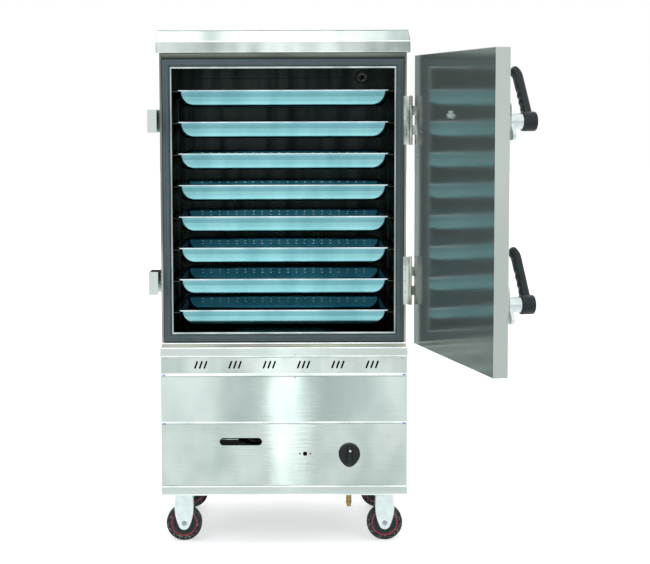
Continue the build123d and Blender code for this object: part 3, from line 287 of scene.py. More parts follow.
# Bright zinc plating on pressed steel: crystalline bloom, faint pits
def zincPlate(name, dark, light, roughness=0.34):
    material, tree, shader = newMaterial(name, Metallic=1.0)
    bloom = pattern(tree, (60.0, 60.0, 60.0), 5.0)
    skin(
        tree, shader, (bloom, dark, light), (bloom, roughness * 1.3, roughness * 0.8),
        (bloom, 0.08 * mm),
    )
    return material


# Cast or machined metal: rough from the mould, or turned, with tarnish in blotches
def duskyMetal(name, dark, light, roughness, grit, depth):
    material, tree, shader = newMaterial(name, Metallic=1.0)
    blotch = pattern(tree, (70.0, 70.0, 70.0), 4.0)
    skin(
        tree, shader, (blotch, dark, light), (blotch, roughness * 1.2, roughness * 0.85),
        (pattern(tree, (1000 / grit,) * 3, 3.0), depth * mm),
    )
    return material


# Expanded foam, plain paint, or another dull skin
def dullSkin(name, dark, light, roughness, grit, depth):
    material, tree, shader = newMaterial(name, Roughness=roughness)
    skin(
        tree, shader, (pattern(tree, (50.0, 50.0, 50.0), 3.0), dark, light), None,
        (pattern(tree, (1000 / grit,) * 3), depth * mm),
    )
    return material


# Stainless sheet by its key: the values of stainlessSheet in their order
stainless = {
    "sheet": ("satin", "BFCCC8", "CBD7D3", 0.1, 0.05, 1.6, 2, 1.7, (3.0, 3.0, 1.5)),
    "stripSheet": ("strip", "B6C4BF", "CFDBD7", 0.1, 0.05, 1.6, 2, 3.1),
    "upperSheet": ("upper", "B2C3BF", "D0DEDA", 0.04, 0.05, 1.1, 2, 7.4, (6.0, 6.0, 4.0), 3.4),
    "lowerSheet": ("lower", "B2C2BD", "D0DDD8", 0.04, 0.05, 1.1, 2, 22.6, (7.0, 7.0, 5.0), 3.4),
    # paler than the sheet: a painted highlight on each hem
    "hem": ("hem", "D5E0DD", "F0F5F3", 0.16, 0.01, 0.2),
    "seam": ("seam", "94A19E", "ABB7B3", 0.35, 0.01, 0.2),
    # darker than the cap: a painted dark reflection along its top edge
    "capEdge": ("capEdge", "7E8B89", "A6B1AE", 0.35, 0.01, 0.2),
    "trim": ("trim", "97A5A1", "BAC7C3", 0.2, 0.01, 0.3),
    # the cap's wide tint patches and its fade to the right are painted reflection
    "capSheet": ("cap", "96A3A0", "DDE6E2", 0.1, 0.05, 2.2, 2, 4.9, (8.0, 3.0, 3.0), 1.7, 0.3),
    "doorOutside": ("door", "C4CEC9", "D2DBD6", 0.16, 0.05, 1.5, 2, 6.1, (3.0, 3.0, 1.5)),
    # the chamber sheet, its back bead and the racks are dark: painted shade inside the cabinet
    "chamber": ("shadedChamber", "1C2323", "303937", 0.22, 0.02, 1.0, 0, 0.0, (30.0, 30.0, 2.0)),
    "chamberBead": ("bead", "0B0E0E", "141919", 0.3, 0.01, 0.1),
    "runner": ("runner", "2A3232", "3E4747", 0.3, 0.01, 0.1),
    "tray": ("pressed", "6BA4AC", "7AB3BB", 0.2, 0.01, 0.4),
    # the tray's bands: a paler rim, a painted highlight; a lighter foot, a painted reflection;
    # darker inside, painted shade
    "trayFootReflection": ("trayFootReflection", "7DBBC1", "8FCACF", 0.2, 0.01, 0.4),
    "trayRimHighlight": ("trayRimHighlight", "AFC3C8", "DCE4E8", 0.25, 0.01, 0.1),
    "trayInsideShade": ("trayInnerShade", "1F5666", "2B6879", 0.25, 0.01, 0.5),
    # near white: a painted highlight of the light the dimples catch
    "dimple": ("dimple", "D2F2F7", "EAFBFD", 0.25, 0.01, 0.1),
    "hinge": ("hinge", "7F8680", "CCD2CC", 0.1, 0.02, 0.6, 2, 0.0, (90.0, 90.0, 20.0), 30.0),
    "ventDark": ("vent", "2E332F", "5A5E55", 0.3, 0.02, 0.1),
    # paler than the plug: a painted highlight on the ring
    "ventRim": ("ventRim", "6F756B", "9A9F94", 0.3, 0.02, 0.1),
}
finish = {key: stainlessSheet(f"{row[0]}Stainless", *row[1:]) for key, row in stainless.items()}
finish.update({
    # base back sheet: soot and painted shade on its inside face
    "sootAndShade": sootAndShadeSheet("sootAndShadeStainless", "C6D3CF", "1B1D1C", 273.2),
    # front frame: painted shade beside the gasket and along its far edge, painted shadow under the
    # cap
    "frameSheet": framedSheet("frameStainlessPaintedShade", "2A3532", "BEC2B4", 329.0, 386.75, 959.25),
    "doorInside": brightSheet("brightStainless", "707D7A", "818F8B", 0.12),
    "silicone": siliconeRubber("doorSilicone", "3E4E52", "516165"),
    "nylon": mouldedNylon("mouldedNylon", "0D1719", "1A2729"),
    "knobNylon": mouldedNylon("knobNylon", "0E1516", "192223", 0.3),
    "zinc": zincPlate("brightZinc", "BCC9CA", "E0EBEB"),
    "boltZinc": zincPlate("boltZinc", "77858A", "A3B0B4", 0.3),
    "brass": duskyMetal("machinedBrass", "8A6B3C", "B2935C", 0.35, 1.5, 0.05),
    "iron": duskyMetal("greyIron", "2A2A29", "3F3E3C", 0.6, 1.0, 0.25),
    "copper": duskyMetal("drawnCopper", "8F5B3B", "B87F58", 0.35, 2.0, 0.03),
    "foam": dullSkin("rigidFoam", "C9B98A", "DCCFA4", 0.9, 2.0, 0.3),
    "needle": dullSkin("needlePaint", "8E1D16", "A9261D", 0.4, 2.0, 0.02),
    "rubber": dustyTread("wheelUrethane", "161C1D", "7F8786"),
    "redRing": dullSkin("ringPlastic", "A8283C", "C43E52", 0.45, 2.0, 0.03),
    "wheelCore": mouldedNylon("wheelCore", "171D1E", "2C3435", 0.5, 1.0),
    "blueFilm": dullSkin("protectiveFilm", "3F6FC4", "8FB0E6", 0.35, 2.0, 0.05),
    "whiteDot": dullSkin("dotPaint", "E6EAEA", "F4F6F6", 0.5, 2.0, 0.01),
    "dialFace": dullSkin("dialEnamel", "E4E4DC", "F1F1EA", 0.35, 3.0, 0.01),
    "dialInk": dullSkin("dialInk", "14171A", "20242A", 0.5, 2.0, 0.01),
})
print("materials made:", len(finish))


# Gives a piece its finish
def dress(thing, material):
    thing.data.materials.clear()
    thing.data.materials.append(finish[material])
    return thing


# A grid of points, rows u by columns v, made a mesh; v wraps, and u may wrap or end in poles
def surface(name, grid, wrapU=False, poles=False, sharp=35.0):
    rows, columns = grid.shape[:2]
    points = grid.reshape(-1, 3)
    i = np.arange(rows if wrapU else rows - 1)[:, None]
    j = np.arange(columns)[None, :]
    nextI = (i + 1) % rows
    nextJ = (j + 1) % columns
    quads = np.stack(
        [i * columns + j, i * columns + nextJ, nextI * columns + nextJ, nextI * columns + j], -1
    ).reshape(-1, 4)
    faces = quads.tolist()
    if poles:
        ends = np.stack([grid[0].mean(axis=0), grid[-1].mean(axis=0)])
        points = np.concatenate([points, ends])
        ring = np.arange(columns)
        first = np.stack([ring, np.full(columns, len(points) - 2), np.roll(ring, -1)], axis=-1)
        last = np.stack([np.roll(ring, -1), np.full(columns, len(points) - 1), ring], axis=-1)
        last[:, [0, 2]] += (rows - 1) * columns
        faces += first[:, ::-1].tolist() + last[:, ::-1].tolist()
    mesh = bpy.data.meshes.new(name)
    mesh.from_pydata(points.tolist(), [], faces)
    return outward(name, mesh, sharp)


# Turns the faces outwards, smooths them below the sharp angle and links the object
def outward(name, mesh, sharp=35.0):
    work = bmesh.new()
    work.from_mesh(mesh)
    bmesh.ops.recalc_face_normals(work, faces=work.faces[:])
    work.to_mesh(mesh)
    work.free()
    mesh.polygons.foreach_set("use_smooth", np.ones(len(mesh.polygons), bool))
    mesh.set_sharp_from_angle(angle=radians(sharp))
    thing = bpy.data.objects.new(name, mesh)
    scene.collection.objects.link(thing)
    return thing


# Several closed meshes as one piece
def joined(name, things, sharp=35.0):
    work = bmesh.new()
    for thing in things:
        work.from_mesh(thing.data)
        bpy.data.objects.remove(thing)
    mesh = bpy.data.meshes.new(name)
    work.to_mesh(mesh)
    work.free()
    return outward(name, mesh, sharp)


# Three directions at right angles that start from an axis
def basis(axis):
    axis = np.array(axis, float) / np.linalg.norm(axis)
    side = np.cross(np.array((0, 0, 1.0)), axis)
    if np.linalg.norm(side) < 1e-6:
        side = np.cross(np.array((1.0, 0, 0)), axis)
    side /= np.linalg.norm(side)
    return axis, side, np.cross(axis, side)


# A profile of (radius, along) in mm turned about an axis:
# point = centre + along * axis + radius * (cos t * side + sin t * other)
def turned(name, profile, centre, axis, steps=64, closed=False, sharp=35.0):
    along, side, other = basis(axis)
    profile = np.array(profile, float) * mm
    t = np.linspace(0, 2 * pi, steps, endpoint=False)
    ring = np.cos(t)[:, None] * side + np.sin(t)[:, None] * other
    grid = (
        np.array(centre, float)
        + profile[:, 1][:, None, None] * along
        + profile[:, 0][:, None, None] * ring[None]
    )
    return surface(name, grid, wrapU=closed, poles=not closed, sharp=sharp)


# Points of an arc in a profile: centre, radius, from angle to angle in degrees
def arc(x, y, radius, start, end, steps=6):
    t = np.radians(np.linspace(start, end, steps))
    return [(x + radius * cos(a), y + radius * sin(a)) for a in t]


# A circle drawn out towards a square: cos t and sin t, each raised to a power below one
def squared(t, power):
    return (np.sign(v) * np.abs(v) ** power for v in (np.cos(t), np.sin(t)))


# Points evenly between two points of a profile, its ends left out
def between(start, end, count=5):
    x, y = (np.linspace(a, b, count + 2)[1:-1] for a, b in zip(start, end))
    return list(zip(x, y))


print("mesh tools ready")


# Trays: an inset and height profile carried round a rounded rectangle
trayShape = {
    "width": 600.0, "depth": 400.0, "height": 45.0, "sheet": 1.5,
    "rimCorner": 14.0, "wallCorner": 6.0, "footCorner": 44.0,      # corner radii seen from above
    "rim": 14.0, "hem": 3.5, "rollRadius": 1.75, "bend": 2.5,
    "slope": 2.4, "footSet": 2.0, "foot": 13.0, "floorRows": (40.0, 120.0), "sag": 2.5,
    # the foot is painted lighter, a painted reflection, from this far down the wall
    "cornerSteps": 12, "footBand": 0.45,        # the lighter foot starts this far down the wall
    "dimplePitch": 25.4, "dimpleColumns": 20, "dimpleRows": (8.0, 16.5), "dimpleSides": 8,
    "dimpleWide": 4.0, "dimpleTall": 1.8, "dimpleProud": 0.7, "dimpleTop": 0.85,
}


# A rounded rectangle set in from its edge, each corner a quarter arc of the same number of points:
# point = (half - inset - radius) + radius * (cos t, sin t)
def roundedLoop(halfX, halfY, inset, radius, steps):
    x = halfX - inset - radius
    y = halfY - inset - radius
    loop = []
    for cornerX, cornerY, start in ((x, y, 0), (-x, y, 90), (-x, -y, 180), (x, -y, 270)):
        t = np.radians(np.linspace(start, start + 90, steps))
        loop.append(np.stack([cornerX + radius * np.cos(t), cornerY + radius * np.sin(t)], -1))
    return np.concatenate(loop)


# (inset, height) all round the sheet: rolled rim, inner side, underside and back to the rim
def trayProfile():
    s = trayShape
    t = s["sheet"]
    bend = s["bend"]
    wallTop = s["rim"] + bend
    footX = s["rim"] + s["slope"] + s["footSet"]
    near, far = (footX + s["foot"] - t + row for row in s["floorRows"])
    rim = [(0.2, -s["hem"]), (0.0, -s["hem"] + 0.4)]
    rim += arc(s["rollRadius"], -s["rollRadius"], s["rollRadius"], 180, 90)
    r = s["foot"] - t
    floor = -s["height"] + t
    foot = arc(footX + r, floor + r, r, 188, 270, 9)
    inner = arc(wallTop - bend, -bend, bend, 90, 15, 4) + between((wallTop, -bend - 1.0), foot[0])
    inner += foot + [(near, floor), (far, floor - 0.2)]
    r = s["foot"]
    under = -s["height"]
    foot = arc(footX - t + r, under + r, r, 270, 188, 9)
    top = (wallTop - 2.6, -4.0)
    back = [(far, under), (near, under)] + foot + between(foot[-1], top)
    back += [top, (wallTop - 3.6, -t - 0.6), (wallTop - 5.5, -t), (t + 0.8, -t), (t, -s["hem"])]
    return rim + inner + back


# Corner radius seen from above: rim radius at the edge, then
# wall radius + (foot radius - wall radius) * (depth / height)^3 down the wall
def trayCorner(inset, height):
    s = trayShape
    down = min(max(-height / s["height"], 0.0), 1.0) ** 3
    wall = s["wallCorner"] + (s["footCorner"] - s["wallCorner"]) * down
    return float(np.interp(inset, (0.0, s["rim"]), (s["rimCorner"], wall)))


# The profile above carried round the tray; the foot hangs a little lower half way along:
# drop = sag * (1 - (x / half width)^2) * how far the point is down the wall
def makeTray(number):
    s = trayShape
    low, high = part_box(f"tray_{number}")
    middle = (low + high) / 2
    profile = trayProfile()
    loops = []
    for inset, height in profile:
        corner = trayCorner(inset, height)
        loop = roundedLoop(s["width"] / 2, s["depth"] / 2, inset, corner, s["cornerSteps"])
        down = min(-height / s["height"], 1.0)
        droop = s["sag"] * (1 - (2 * loop[:, 0] / s["width"]) ** 2) * down
        loops.append(np.concatenate([loop, (height - droop)[:, None]], axis=1))
    grid = np.stack(loops) * mm + np.array((middle.x, middle.y, high.z))
    tray = surface(f"trayShell{number}", grid, wrapU=True, sharp=40)
    dress(tray, "tray")
    for extra in ("trayRimHighlight", "trayInsideShade", "trayFootReflection"):
        tray.data.materials.append(finish[extra])
    insets, heights = np.array(profile).T
    # bands of the tray's finish: painted highlight on the rim, painted shade inside, painted
    # reflection on the foot
    band = np.zeros(len(profile), int)      # 0 wall, 1 rim, 2 inside, 3 foot
    insideEnd = int(np.argmax(heights <= -s["height"]))
    band[:insideEnd] = 2
    band[insideEnd:][heights[insideEnd:] < -s["height"] * s["footBand"]] = 3
    band[:insideEnd][insets[:insideEnd] <= s["rim"] + 0.6] = 1
    band[insets < 1.0] = 1
    slots = np.repeat(band, 4 * s["cornerSteps"])
    tray.data.polygons.foreach_set("material_index", slots[:len(tray.data.polygons)])
    return tray


# Small ovals pressed in rows into the inner side of the back wall, repeated at a pitch:
# point = middle + (wide * cos t, 0, tall * sin t), and the flat top stands proud
def makeDimples(number):
    s = trayShape
    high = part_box(f"tray_{number}")[1]
    count = s["dimpleSides"]
    t = np.linspace(0, 2 * pi, count, endpoint=False)
    x, z = s["dimpleWide"] * np.cos(t), s["dimpleTall"] * np.sin(t)
    top, proud = s["dimpleTop"], -s["dimpleProud"]
    outer = np.stack([x, 0 * t + 0.3, z], -1)
    inner = np.stack([top * x, 0 * t + proud, top * z], -1)
    dome = np.concatenate([outer, inner, [(0, proud, 0)]])
    columns = (np.arange(s["dimpleColumns"]) - (s["dimpleColumns"] - 1) / 2) * s["dimplePitch"]
    wall = high.y / mm - s["rim"] - s["bend"] - 0.4
    places = np.array([
        (column, wall - s["slope"] * row / s["height"], high.z / mm - row)
        for row in s["dimpleRows"] for column in columns
    ])
    points = (places[:, None] + dome[None]).reshape(-1, 3) * mm
    k = np.arange(count)
    after = (k + 1) % count
    sides = np.stack([k, after, after + count, k + count], -1)
    tips = np.stack([k + count, after + count, 0 * k + 2 * count], -1)
    offsets = np.arange(len(places))[:, None, None] * len(dome)
    faces = (sides[None] + offsets).reshape(-1, 4).tolist()
    faces += (tips[None] + offsets).reshape(-1, 3).tolist()
    faces += (k[::-1][None] + offsets[:, :, 0]).tolist()
    mesh = bpy.data.meshes.new(f"trayDimples{number}")
    mesh.from_pydata(points.tolist(), [], faces)
    return dress(outward(f"trayDimples{number}", mesh, 60), "dimple")


for number in range(1, 9):
    tray = makeTray(number)
    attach(tray, f"tray_{number}")
    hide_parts(f"tray_{number}")
    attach(makeDimples(number), f"tray_{number}")
print("trays made")


# Castors: a urethane tyre, a red ring and a moulded core with its hub, each a profile turned
# about the axle and mirrored on the far side
wheelShape = {
    "radius": 50.0, "width": 32.0, "shoulder": 6.0, "ringRadius": 35.0, "ringWidth": 2.9,
    "coreRadius": 33.0, "hubRadius": 13.0, "hubProud": 2.5, "bore": 4.2, "recess": 3.0,
}


def makeWheel(node, body):
    s = wheelShape
    low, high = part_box(node)
    centre = (low + high) / 2
    half = s["width"] / 2
    ringIn = s["ringRadius"] - s["ringWidth"] / 2
    ringOut = s["ringRadius"] + s["ringWidth"] / 2
    edge = s["radius"] - s["shoulder"]
    tread = arc(edge, half - s["shoulder"], s["shoulder"], 90, 12, 7)
    crown = [(s["radius"] - 0.15, half * 0.5), (s["radius"], 0.0)]
    upper = [(ringOut, half - 1.0), (ringOut + 1.0, half - 0.2)] + tread + crown
    tyre = upper + [(r, -h) for r, h in reversed(upper[:-1])]
    proud = half + s["hubProud"]
    deep = half - s["recess"]
    coreSide = [
        (s["bore"], proud), (s["hubRadius"] - 1.2, proud), (s["hubRadius"], proud - 1.2),
        (s["hubRadius"] + 0.8, deep), (s["coreRadius"] - 8.0, deep - 0.6),
        (s["coreRadius"] - 6.5, deep + 1.2), (s["coreRadius"] - 1.5, deep + 1.6),
        (ringIn, deep + 0.8),
    ]
    core = coreSide + [(r, -h) for r, h in reversed(coreSide)]
    ringSide = [
        (ringIn, deep + 0.6), (ringIn + 0.4, half - 0.4),
        (s["ringRadius"], half + 0.2), (ringOut - 0.4, half - 0.4), (ringOut, half - 1.4),
    ]
    ring = ringSide + [(r, -h) for r, h in reversed(ringSide)]
    for part, profile, steps, finishName in (
        ("Tyre", tyre, 72, "rubber"), ("Core", core, 64, "wheelCore"), ("Ring", ring, 72, "redRing")
    ):
        thing = turned(node + part, profile, centre, (0, 1, 0), steps, closed=True)
        dress(thing, finishName)
        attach(thing, body)
        if part == "Tyre":
            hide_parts(node)


for end in ("front", "rear"):
    for side in ("left", "right"):
        makeWheel(f"{end}_{side}_wheel", f"{end}_{side}_roller")
print("castors made")


# Latch grips: a rounded section carried up a straight and over a bend, with scallops for the
# fingers on the door's side; the section closes with half an ellipse at the tip:
# point = path + breadth * |cos t|^squareness * heading + thickness * |sin t|^squareness * side
gripShape = {
    "reach": 130.0, "bendRadius": 34.0, "bendAngle": 52.0, "lean": 36.0, "squareness": 0.72,
    "thickness": 12.5, "breadth": 12.0, "tipLength": 11.0,
    "hubMiddle": 30.55, "hubRadius": 23.5, "hubLength": 35.0, "hubEdge": 4.0,
    "grooves": (48.0, 69.0, 90.0), "grooveDepth": 1.8, "grooveSpan": 8.0,
}


def makeLever(level):
    s = gripShape
    joint = jointNamed[f"{level}_latch_turn"]
    out = np.array(joint["axis"], float)
    edgeWays = np.cross(out, (0, 0, 1.0))
    lean = radians(s["lean"])
    grip = -sin(lean) * edgeWays + cos(lean) * np.array((0, 0, 1.0))
    side = np.cross(grip, out)
    middle = np.array(joint["pos_m"], float) + out * s["hubMiddle"] * mm
    straight = np.linspace(0, s["reach"], 40)
    turn = np.radians(np.linspace(2, s["bendAngle"], 18))
    alongPath = np.concatenate([straight, s["reach"] + s["bendRadius"] * np.sin(turn)])
    outPath = np.concatenate([straight * 0, -s["bendRadius"] * (1 - np.cos(turn))])
    heading = np.concatenate([straight * 0, turn])
    length = np.concatenate([straight, s["reach"] + s["bendRadius"] * turn])
    tip = np.clip((length[-1] - length) / s["tipLength"], 0, 1)
    close = np.sqrt(np.clip(1 - (1 - tip) ** 2, 0.02, 1))
    scallop = sum(
        np.clip(1 - ((length - g) / s["grooveSpan"]) ** 2, 0, 1) for g in s["grooves"]
    ) * s["grooveDepth"]
    t = np.linspace(0, 2 * pi, 40, endpoint=False)
    sectionOut, sectionSide = squared(t, s["squareness"])
    innerSide = np.clip(-np.cos(t), 0, 1)
    breadth = s["breadth"] * close[:, None] * sectionOut[None] + scallop[:, None] * innerSide[None]
    thick = s["thickness"] * close[:, None] * sectionSide[None]
    outHeading = np.cos(heading)[:, None, None] * out + np.sin(heading)[:, None, None] * grip
    grid = (
        middle
        + alongPath[:, None, None] * mm * grip
        + outPath[:, None, None] * mm * out
        + breadth[:, :, None] * mm * outHeading
        + thick[:, :, None] * mm * side
    )
    shaft = surface("shaft", grid, poles=True, sharp=60)
    e = s["hubEdge"]
    r = s["hubRadius"]
    half = s["hubLength"] / 2
    profile = [(0.5, half - 0.6), (r * 0.6, half - 0.4)] + arc(r - e, half - e, e, 90, 0, 7)
    profile += arc(r - e, e - half, e, 0, -90, 7) + [(0.5, -half)]
    hub = turned("hub", profile, middle, out, 64, sharp=60)
    lever = joined(f"{level}Grip", [shaft, hub], 60)
    dress(lever, "nylon")
    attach(lever, f"{level}_latch")
    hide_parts(f"{level}_latch_lever")


for level in ("upper", "lower"):
    makeLever(level)
print("latch grips made")


# Gasket: a hollow-looking bulb carried round the opening and mitred at its corners:
# point = (+-(half width - inset), -ahead, +-(half height - inset)) from the opening's middle
gasketShape = {"width": 19.0, "proud": 8.0}


def makeGasket():
    low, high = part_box("frame_gasket")
    middle = (low + high) / 2
    halfX = (high.x - low.x) / 2 / mm
    halfZ = (high.z - low.z) / 2 / mm
    w = gasketShape["width"]
    p = gasketShape["proud"]
    a = np.radians((30, 60, 90))
    profile = [(0.0, 0.0), (0.0, p * 0.55)]
    profile += list(zip(w * 0.16 * (1 - np.cos(a)), p * (0.55 + 0.35 * np.sin(a))))
    profile += [(w * 0.3, p * 0.9), (w * 0.34, p * 0.8), (w * 0.38, p * 0.9)]
    profile += [(w * (0.5 + 0.3 * x), p * (1 - 0.25 * x * x)) for x in (-0.4, 0.0, 0.5, 1.0)]
    profile += [(w * 0.88, p * 0.5), (w * 0.93, p * 0.62), (w, p * 0.45), (w, 0.0)]
    inset, ahead = np.array(profile).T
    corner = np.array([(1, 1), (-1, 1), (-1, -1), (1, -1)], float)
    x = corner[None, :, 0] * (halfX - inset)[:, None]
    z = corner[None, :, 1] * (halfZ - inset)[:, None]
    y = np.repeat((-ahead)[:, None], 4, axis=1)
    grid = np.stack([x, y, z], -1) * mm + np.array((middle.x, high.y, middle.z))
    strip = surface("gasketStrip", grid, wrapU=True, sharp=50)
    dress(strip, "silicone")
    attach(strip, "cabinet")
    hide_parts("frame_gasket")


makeGasket()
print("gasket made")


# An (inset, ahead) profile in mm carried round an upright rounded rectangle that faces forward
def upright(name, centre, halfX, halfZ, corner, profile):
    loops = []
    for inset, ahead in profile:
        loop = roundedLoop(halfX, halfZ, inset, max(corner - inset, 0.6), 8)
        loops.append(np.stack([loop[:, 0], np.full(len(loop), -ahead), loop[:, 1]], -1))
    grid = np.stack(loops) * mm + np.array(centre) * mm
    return surface(name, grid, wrapU=True, sharp=50)


# The raised trim round the opening and the bead of the field in the back wall; across, each is
# half an ellipse closed by its chord: (width / 2 * (1 - cos t), low + proud * sin t)
trimShape = {
    "middle": 959.25, "width": 6.0,
    "rings": (
        # name, depth, half sizes, corner, low, proud, finish
        ("openingTrim", -270.0, (310.0, 367.75), 1.0, 1.6, 1.8, "trim"),
        ("backFieldBead", 242.5, (286.0, 347.0), 26.0, 0.0, 2.6, "chamberBead"),
    ),
}


def makeTrims():
    w = trimShape["width"]
    t = np.linspace(0, pi, 9)
    for name, depth, half, corner, low, proud, finishName in trimShape["rings"]:
        over = list(zip(w / 2 * (1 - np.cos(t)), low + proud * np.sin(t)))
        profile = [(0, low - 0.4)] + over + [(w, low - 0.4)]
        ring = upright(name, (0, depth, trimShape["middle"]), *half, corner, profile)
        dress(ring, finishName)
        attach(ring, "cabinet")


# A straight strip from side to side: half an ellipse across, carried along x:
# point = (x, front - proud * sin t, middle + width / 2 * cos t)
def strip(name, half, front, middle, width, proud, finishName):
    t = np.linspace(0, 2 * pi, 16, endpoint=False)
    x = np.linspace(-half, half, 9)
    y = np.where(np.sin(t) > 0, front - proud * np.sin(t), front + 0.4)
    z = middle + width / 2 * np.cos(t)
    grid = np.stack(np.broadcast_arrays(x[:, None], y[None], z[None]), -1) * mm
    piece = surface(name, grid, poles=True, sharp=50)
    dress(piece, finishName)
    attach(piece, "cabinet")


# Rounded folds and seams of the sheets, as in the photograph: a paler strip, a painted highlight,
# on each hem, a darker line on each seam, and a painted dark reflection on the cap's top edge
hems = (
    # name, half length, face, height, width, proud, finish
    ("capCrease", 347.0, -280.0, 1394.0, 3.4, 0.9, "hem"),
    ("capTopEdge", 341.0, -274.2, 1423.2, 2.6, 0.8, "capEdge"),
    ("baseTopEdge", 342.0, -275.0, 553.6, 4.0, 1.2, "hem"),
    ("stripEdge", 340.0, -274.0, 530.5, 4.4, 1.2, "hem"),
    ("stripSeam", 340.0, -274.0, 527.4, 1.6, 0.5, "seam"),
    ("upperBead", 340.0, -276.0, 479.5, 7.0, 1.2, "hem"),
    ("upperBeadSeam", 340.0, -274.0, 473.8, 2.2, 0.5, "seam"),
    ("lowerSeamFold", 340.0, -274.0, 344.8, 4.6, 1.2, "hem"),
    ("lowerSeam", 340.0, -274.0, 341.4, 2.0, 0.4, "seam"),
    ("railFold", 340.0, -274.6, 164.6, 4.2, 1.0, "hem"),
    ("railSeam", 340.0, -274.0, 167.8, 2.0, 0.6, "seam"),
    ("railFoot", 342.0, -275.0, 141.2, 3.0, 0.8, "hem"),
    ("sillFold", 337.0, -270.0, 566.0, 4.6, 1.0, "hem"),
)
for row in hems:
    strip(*row)
makeTrims()


# A screw or rivet head: a plain low dome turned about its axis, (radius * sin a, proud * cos a)
screwHead = {"proud": 1.5, "rivetRadius": 2.2, "backRadius": 3.4, "leafRadius": 2.6}


def screw(name, centre, axis, radius, finishName="zinc"):
    proud = screwHead["proud"]
    a = np.radians((25, 50, 70, 85))
    dome = list(zip(radius * np.sin(a), proud * np.cos(a)))
    profile = [(0.2, proud)] + dome + [(radius, -0.4), (0.2, -0.4)]
    head = turned(name, profile, centre, axis, 20, sharp=60)
    dress(head, finishName)
    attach(head, "cabinet")


# Rivets of the front panels
rivets = {
    "front": -274.0, "places": ((31.0, 534.0), (31.0, 471.0), (327.0, 524.0), (-327.0, 524.0))
}
for number, (x, z) in enumerate(rivets["places"], 1):
    place = np.array((x, rivets["front"], z)) * mm
    screw(f"panelRivet{number}", place, (0, -1, 0), screwHead["rivetRadius"], "seam")

# Screws down both edges of the two back sheets: how far out, and how many
backScrews = {"rear_panel": (318.0, 5), "base_rear_panel": (322.0, 3), "endGap": 30.0}
for node in ("rear_panel", "base_rear_panel"):
    across, count = backScrews[node]
    low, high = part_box(node)
    gap = backScrews["endGap"] * mm
    for row, z in enumerate(np.linspace(low.z + gap, high.z - gap, count), 1):
        for side, letter in ((-1, "L"), (1, "R")):
            place = np.array((side * across * mm, high.y, z))
            screw(f"{node}Screw{row}{letter}", place, (0, 1, 0), screwHead["backRadius"])


# Shreds of blue protective film left at the panel corners: a wavy patch,
# y = front - lift * (1 + sin(3u) * cos(4v)) / 2, its edge torn by a seeded random step
filmShape = {
    "width": 7.0, "height": 4.5, "lift": 0.8, "tear": 0.35, "seed": 11,
    "places": (
        (-333.0, -277.2, 479.0), (333.0, -277.2, 479.0),
        (333.0, -275.0, 342.0), (-333.0, -275.0, 342.0),
    ),
}


def makeFilm(number, x, front, z):
    s = filmShape
    random = np.random.default_rng(s["seed"] + number)
    u, v = np.meshgrid(np.linspace(-1, 1, 9), np.linspace(-1, 1, 7), indexing="ij")
    tear = 1 + s["tear"] * random.uniform(-1, 1, u.shape)
    px = x + s["width"] / 2 * u * tear
    pz = z + s["height"] / 2 * v * tear
    py = front - 0.4 - s["lift"] * (0.5 + 0.5 * np.sin(3 * u) * np.cos(4 * v))
    outside = np.stack([px, py, pz], -1)
    inside = outside + (0, 0.3, 0)
    grid = np.concatenate([outside, inside[:, ::-1]], axis=1) * mm
    patch = surface(f"filmShred{number}", grid, poles=True, sharp=80)
    dress(patch, "blueFilm")
    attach(patch, "cabinet")


for number, place in enumerate(filmShape["places"], 1):
    makeFilm(number, *place)
print("trims, rivets and film made")


# The plug in the chamber's vent: a disc with a round button, and a rounded ring about it
ventShape = {
    "centre": (236.5, 236.0, 1305.5), "reach": 9.3, "button": 5.6, "ring": 15.6, "ringWidth": 1.5
}


def makeVent():
    s = ventShape
    centre = np.array(s["centre"]) * mm
    r = s["reach"]
    b = s["button"]
    disc = [(0.3, 0.4), (b - 1.6, 0.2), (b - 0.6, -0.5), (b, -1.8), (r - 0.1, -2.2)]
    disc += [(r, -6.0), (0.3, -6.0)]
    plug = turned("ventPlug", disc, centre, (0, -1, 0), 40, sharp=40)
    dress(plug, "ventDark")
    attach(plug, "cabinet")
    ring = arc(s["ring"], 0.0, s["ringWidth"], 0, 330, 12)
    rim = turned("ventRing", ring, centre, (0, -1, 0), 56, closed=True, sharp=80)
    dress(rim, "ventRim")
    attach(rim, "cabinet")


makeVent()
print("vent plug made")


# Knob: an egg-shaped skirt that comes to a soft point below, and a raised grip bar with two
# grooves. Skirt radius = radius + point * exp(-((angle - down) / spread)^2), and the bar's
# section is (half size - shrink) * (|cos t|, |sin t|)^squareness, less and less to its top
knobShape = {
    "radius": 30.0, "point": 6.5, "spread": 32.0, "skirt": 9.0, "skirtEdge": 2.6, "depth": 25.0,
    "barHalf": 9.1, "up": 24.0, "down": 31.0, "squareness": 0.7,
    "groove": 4.6, "grooveDepth": 1.4, "grooveSpread": 1.1,
    "levels": (0.0, 0.35, 0.7, 0.88, 0.96, 1.0, 1.0, 1.0),      # part of the bar's height
    "shrink": (0.0, 0.8, 1.5, 2.2, 3.0, 4.4, 6.0, 8.2),
}


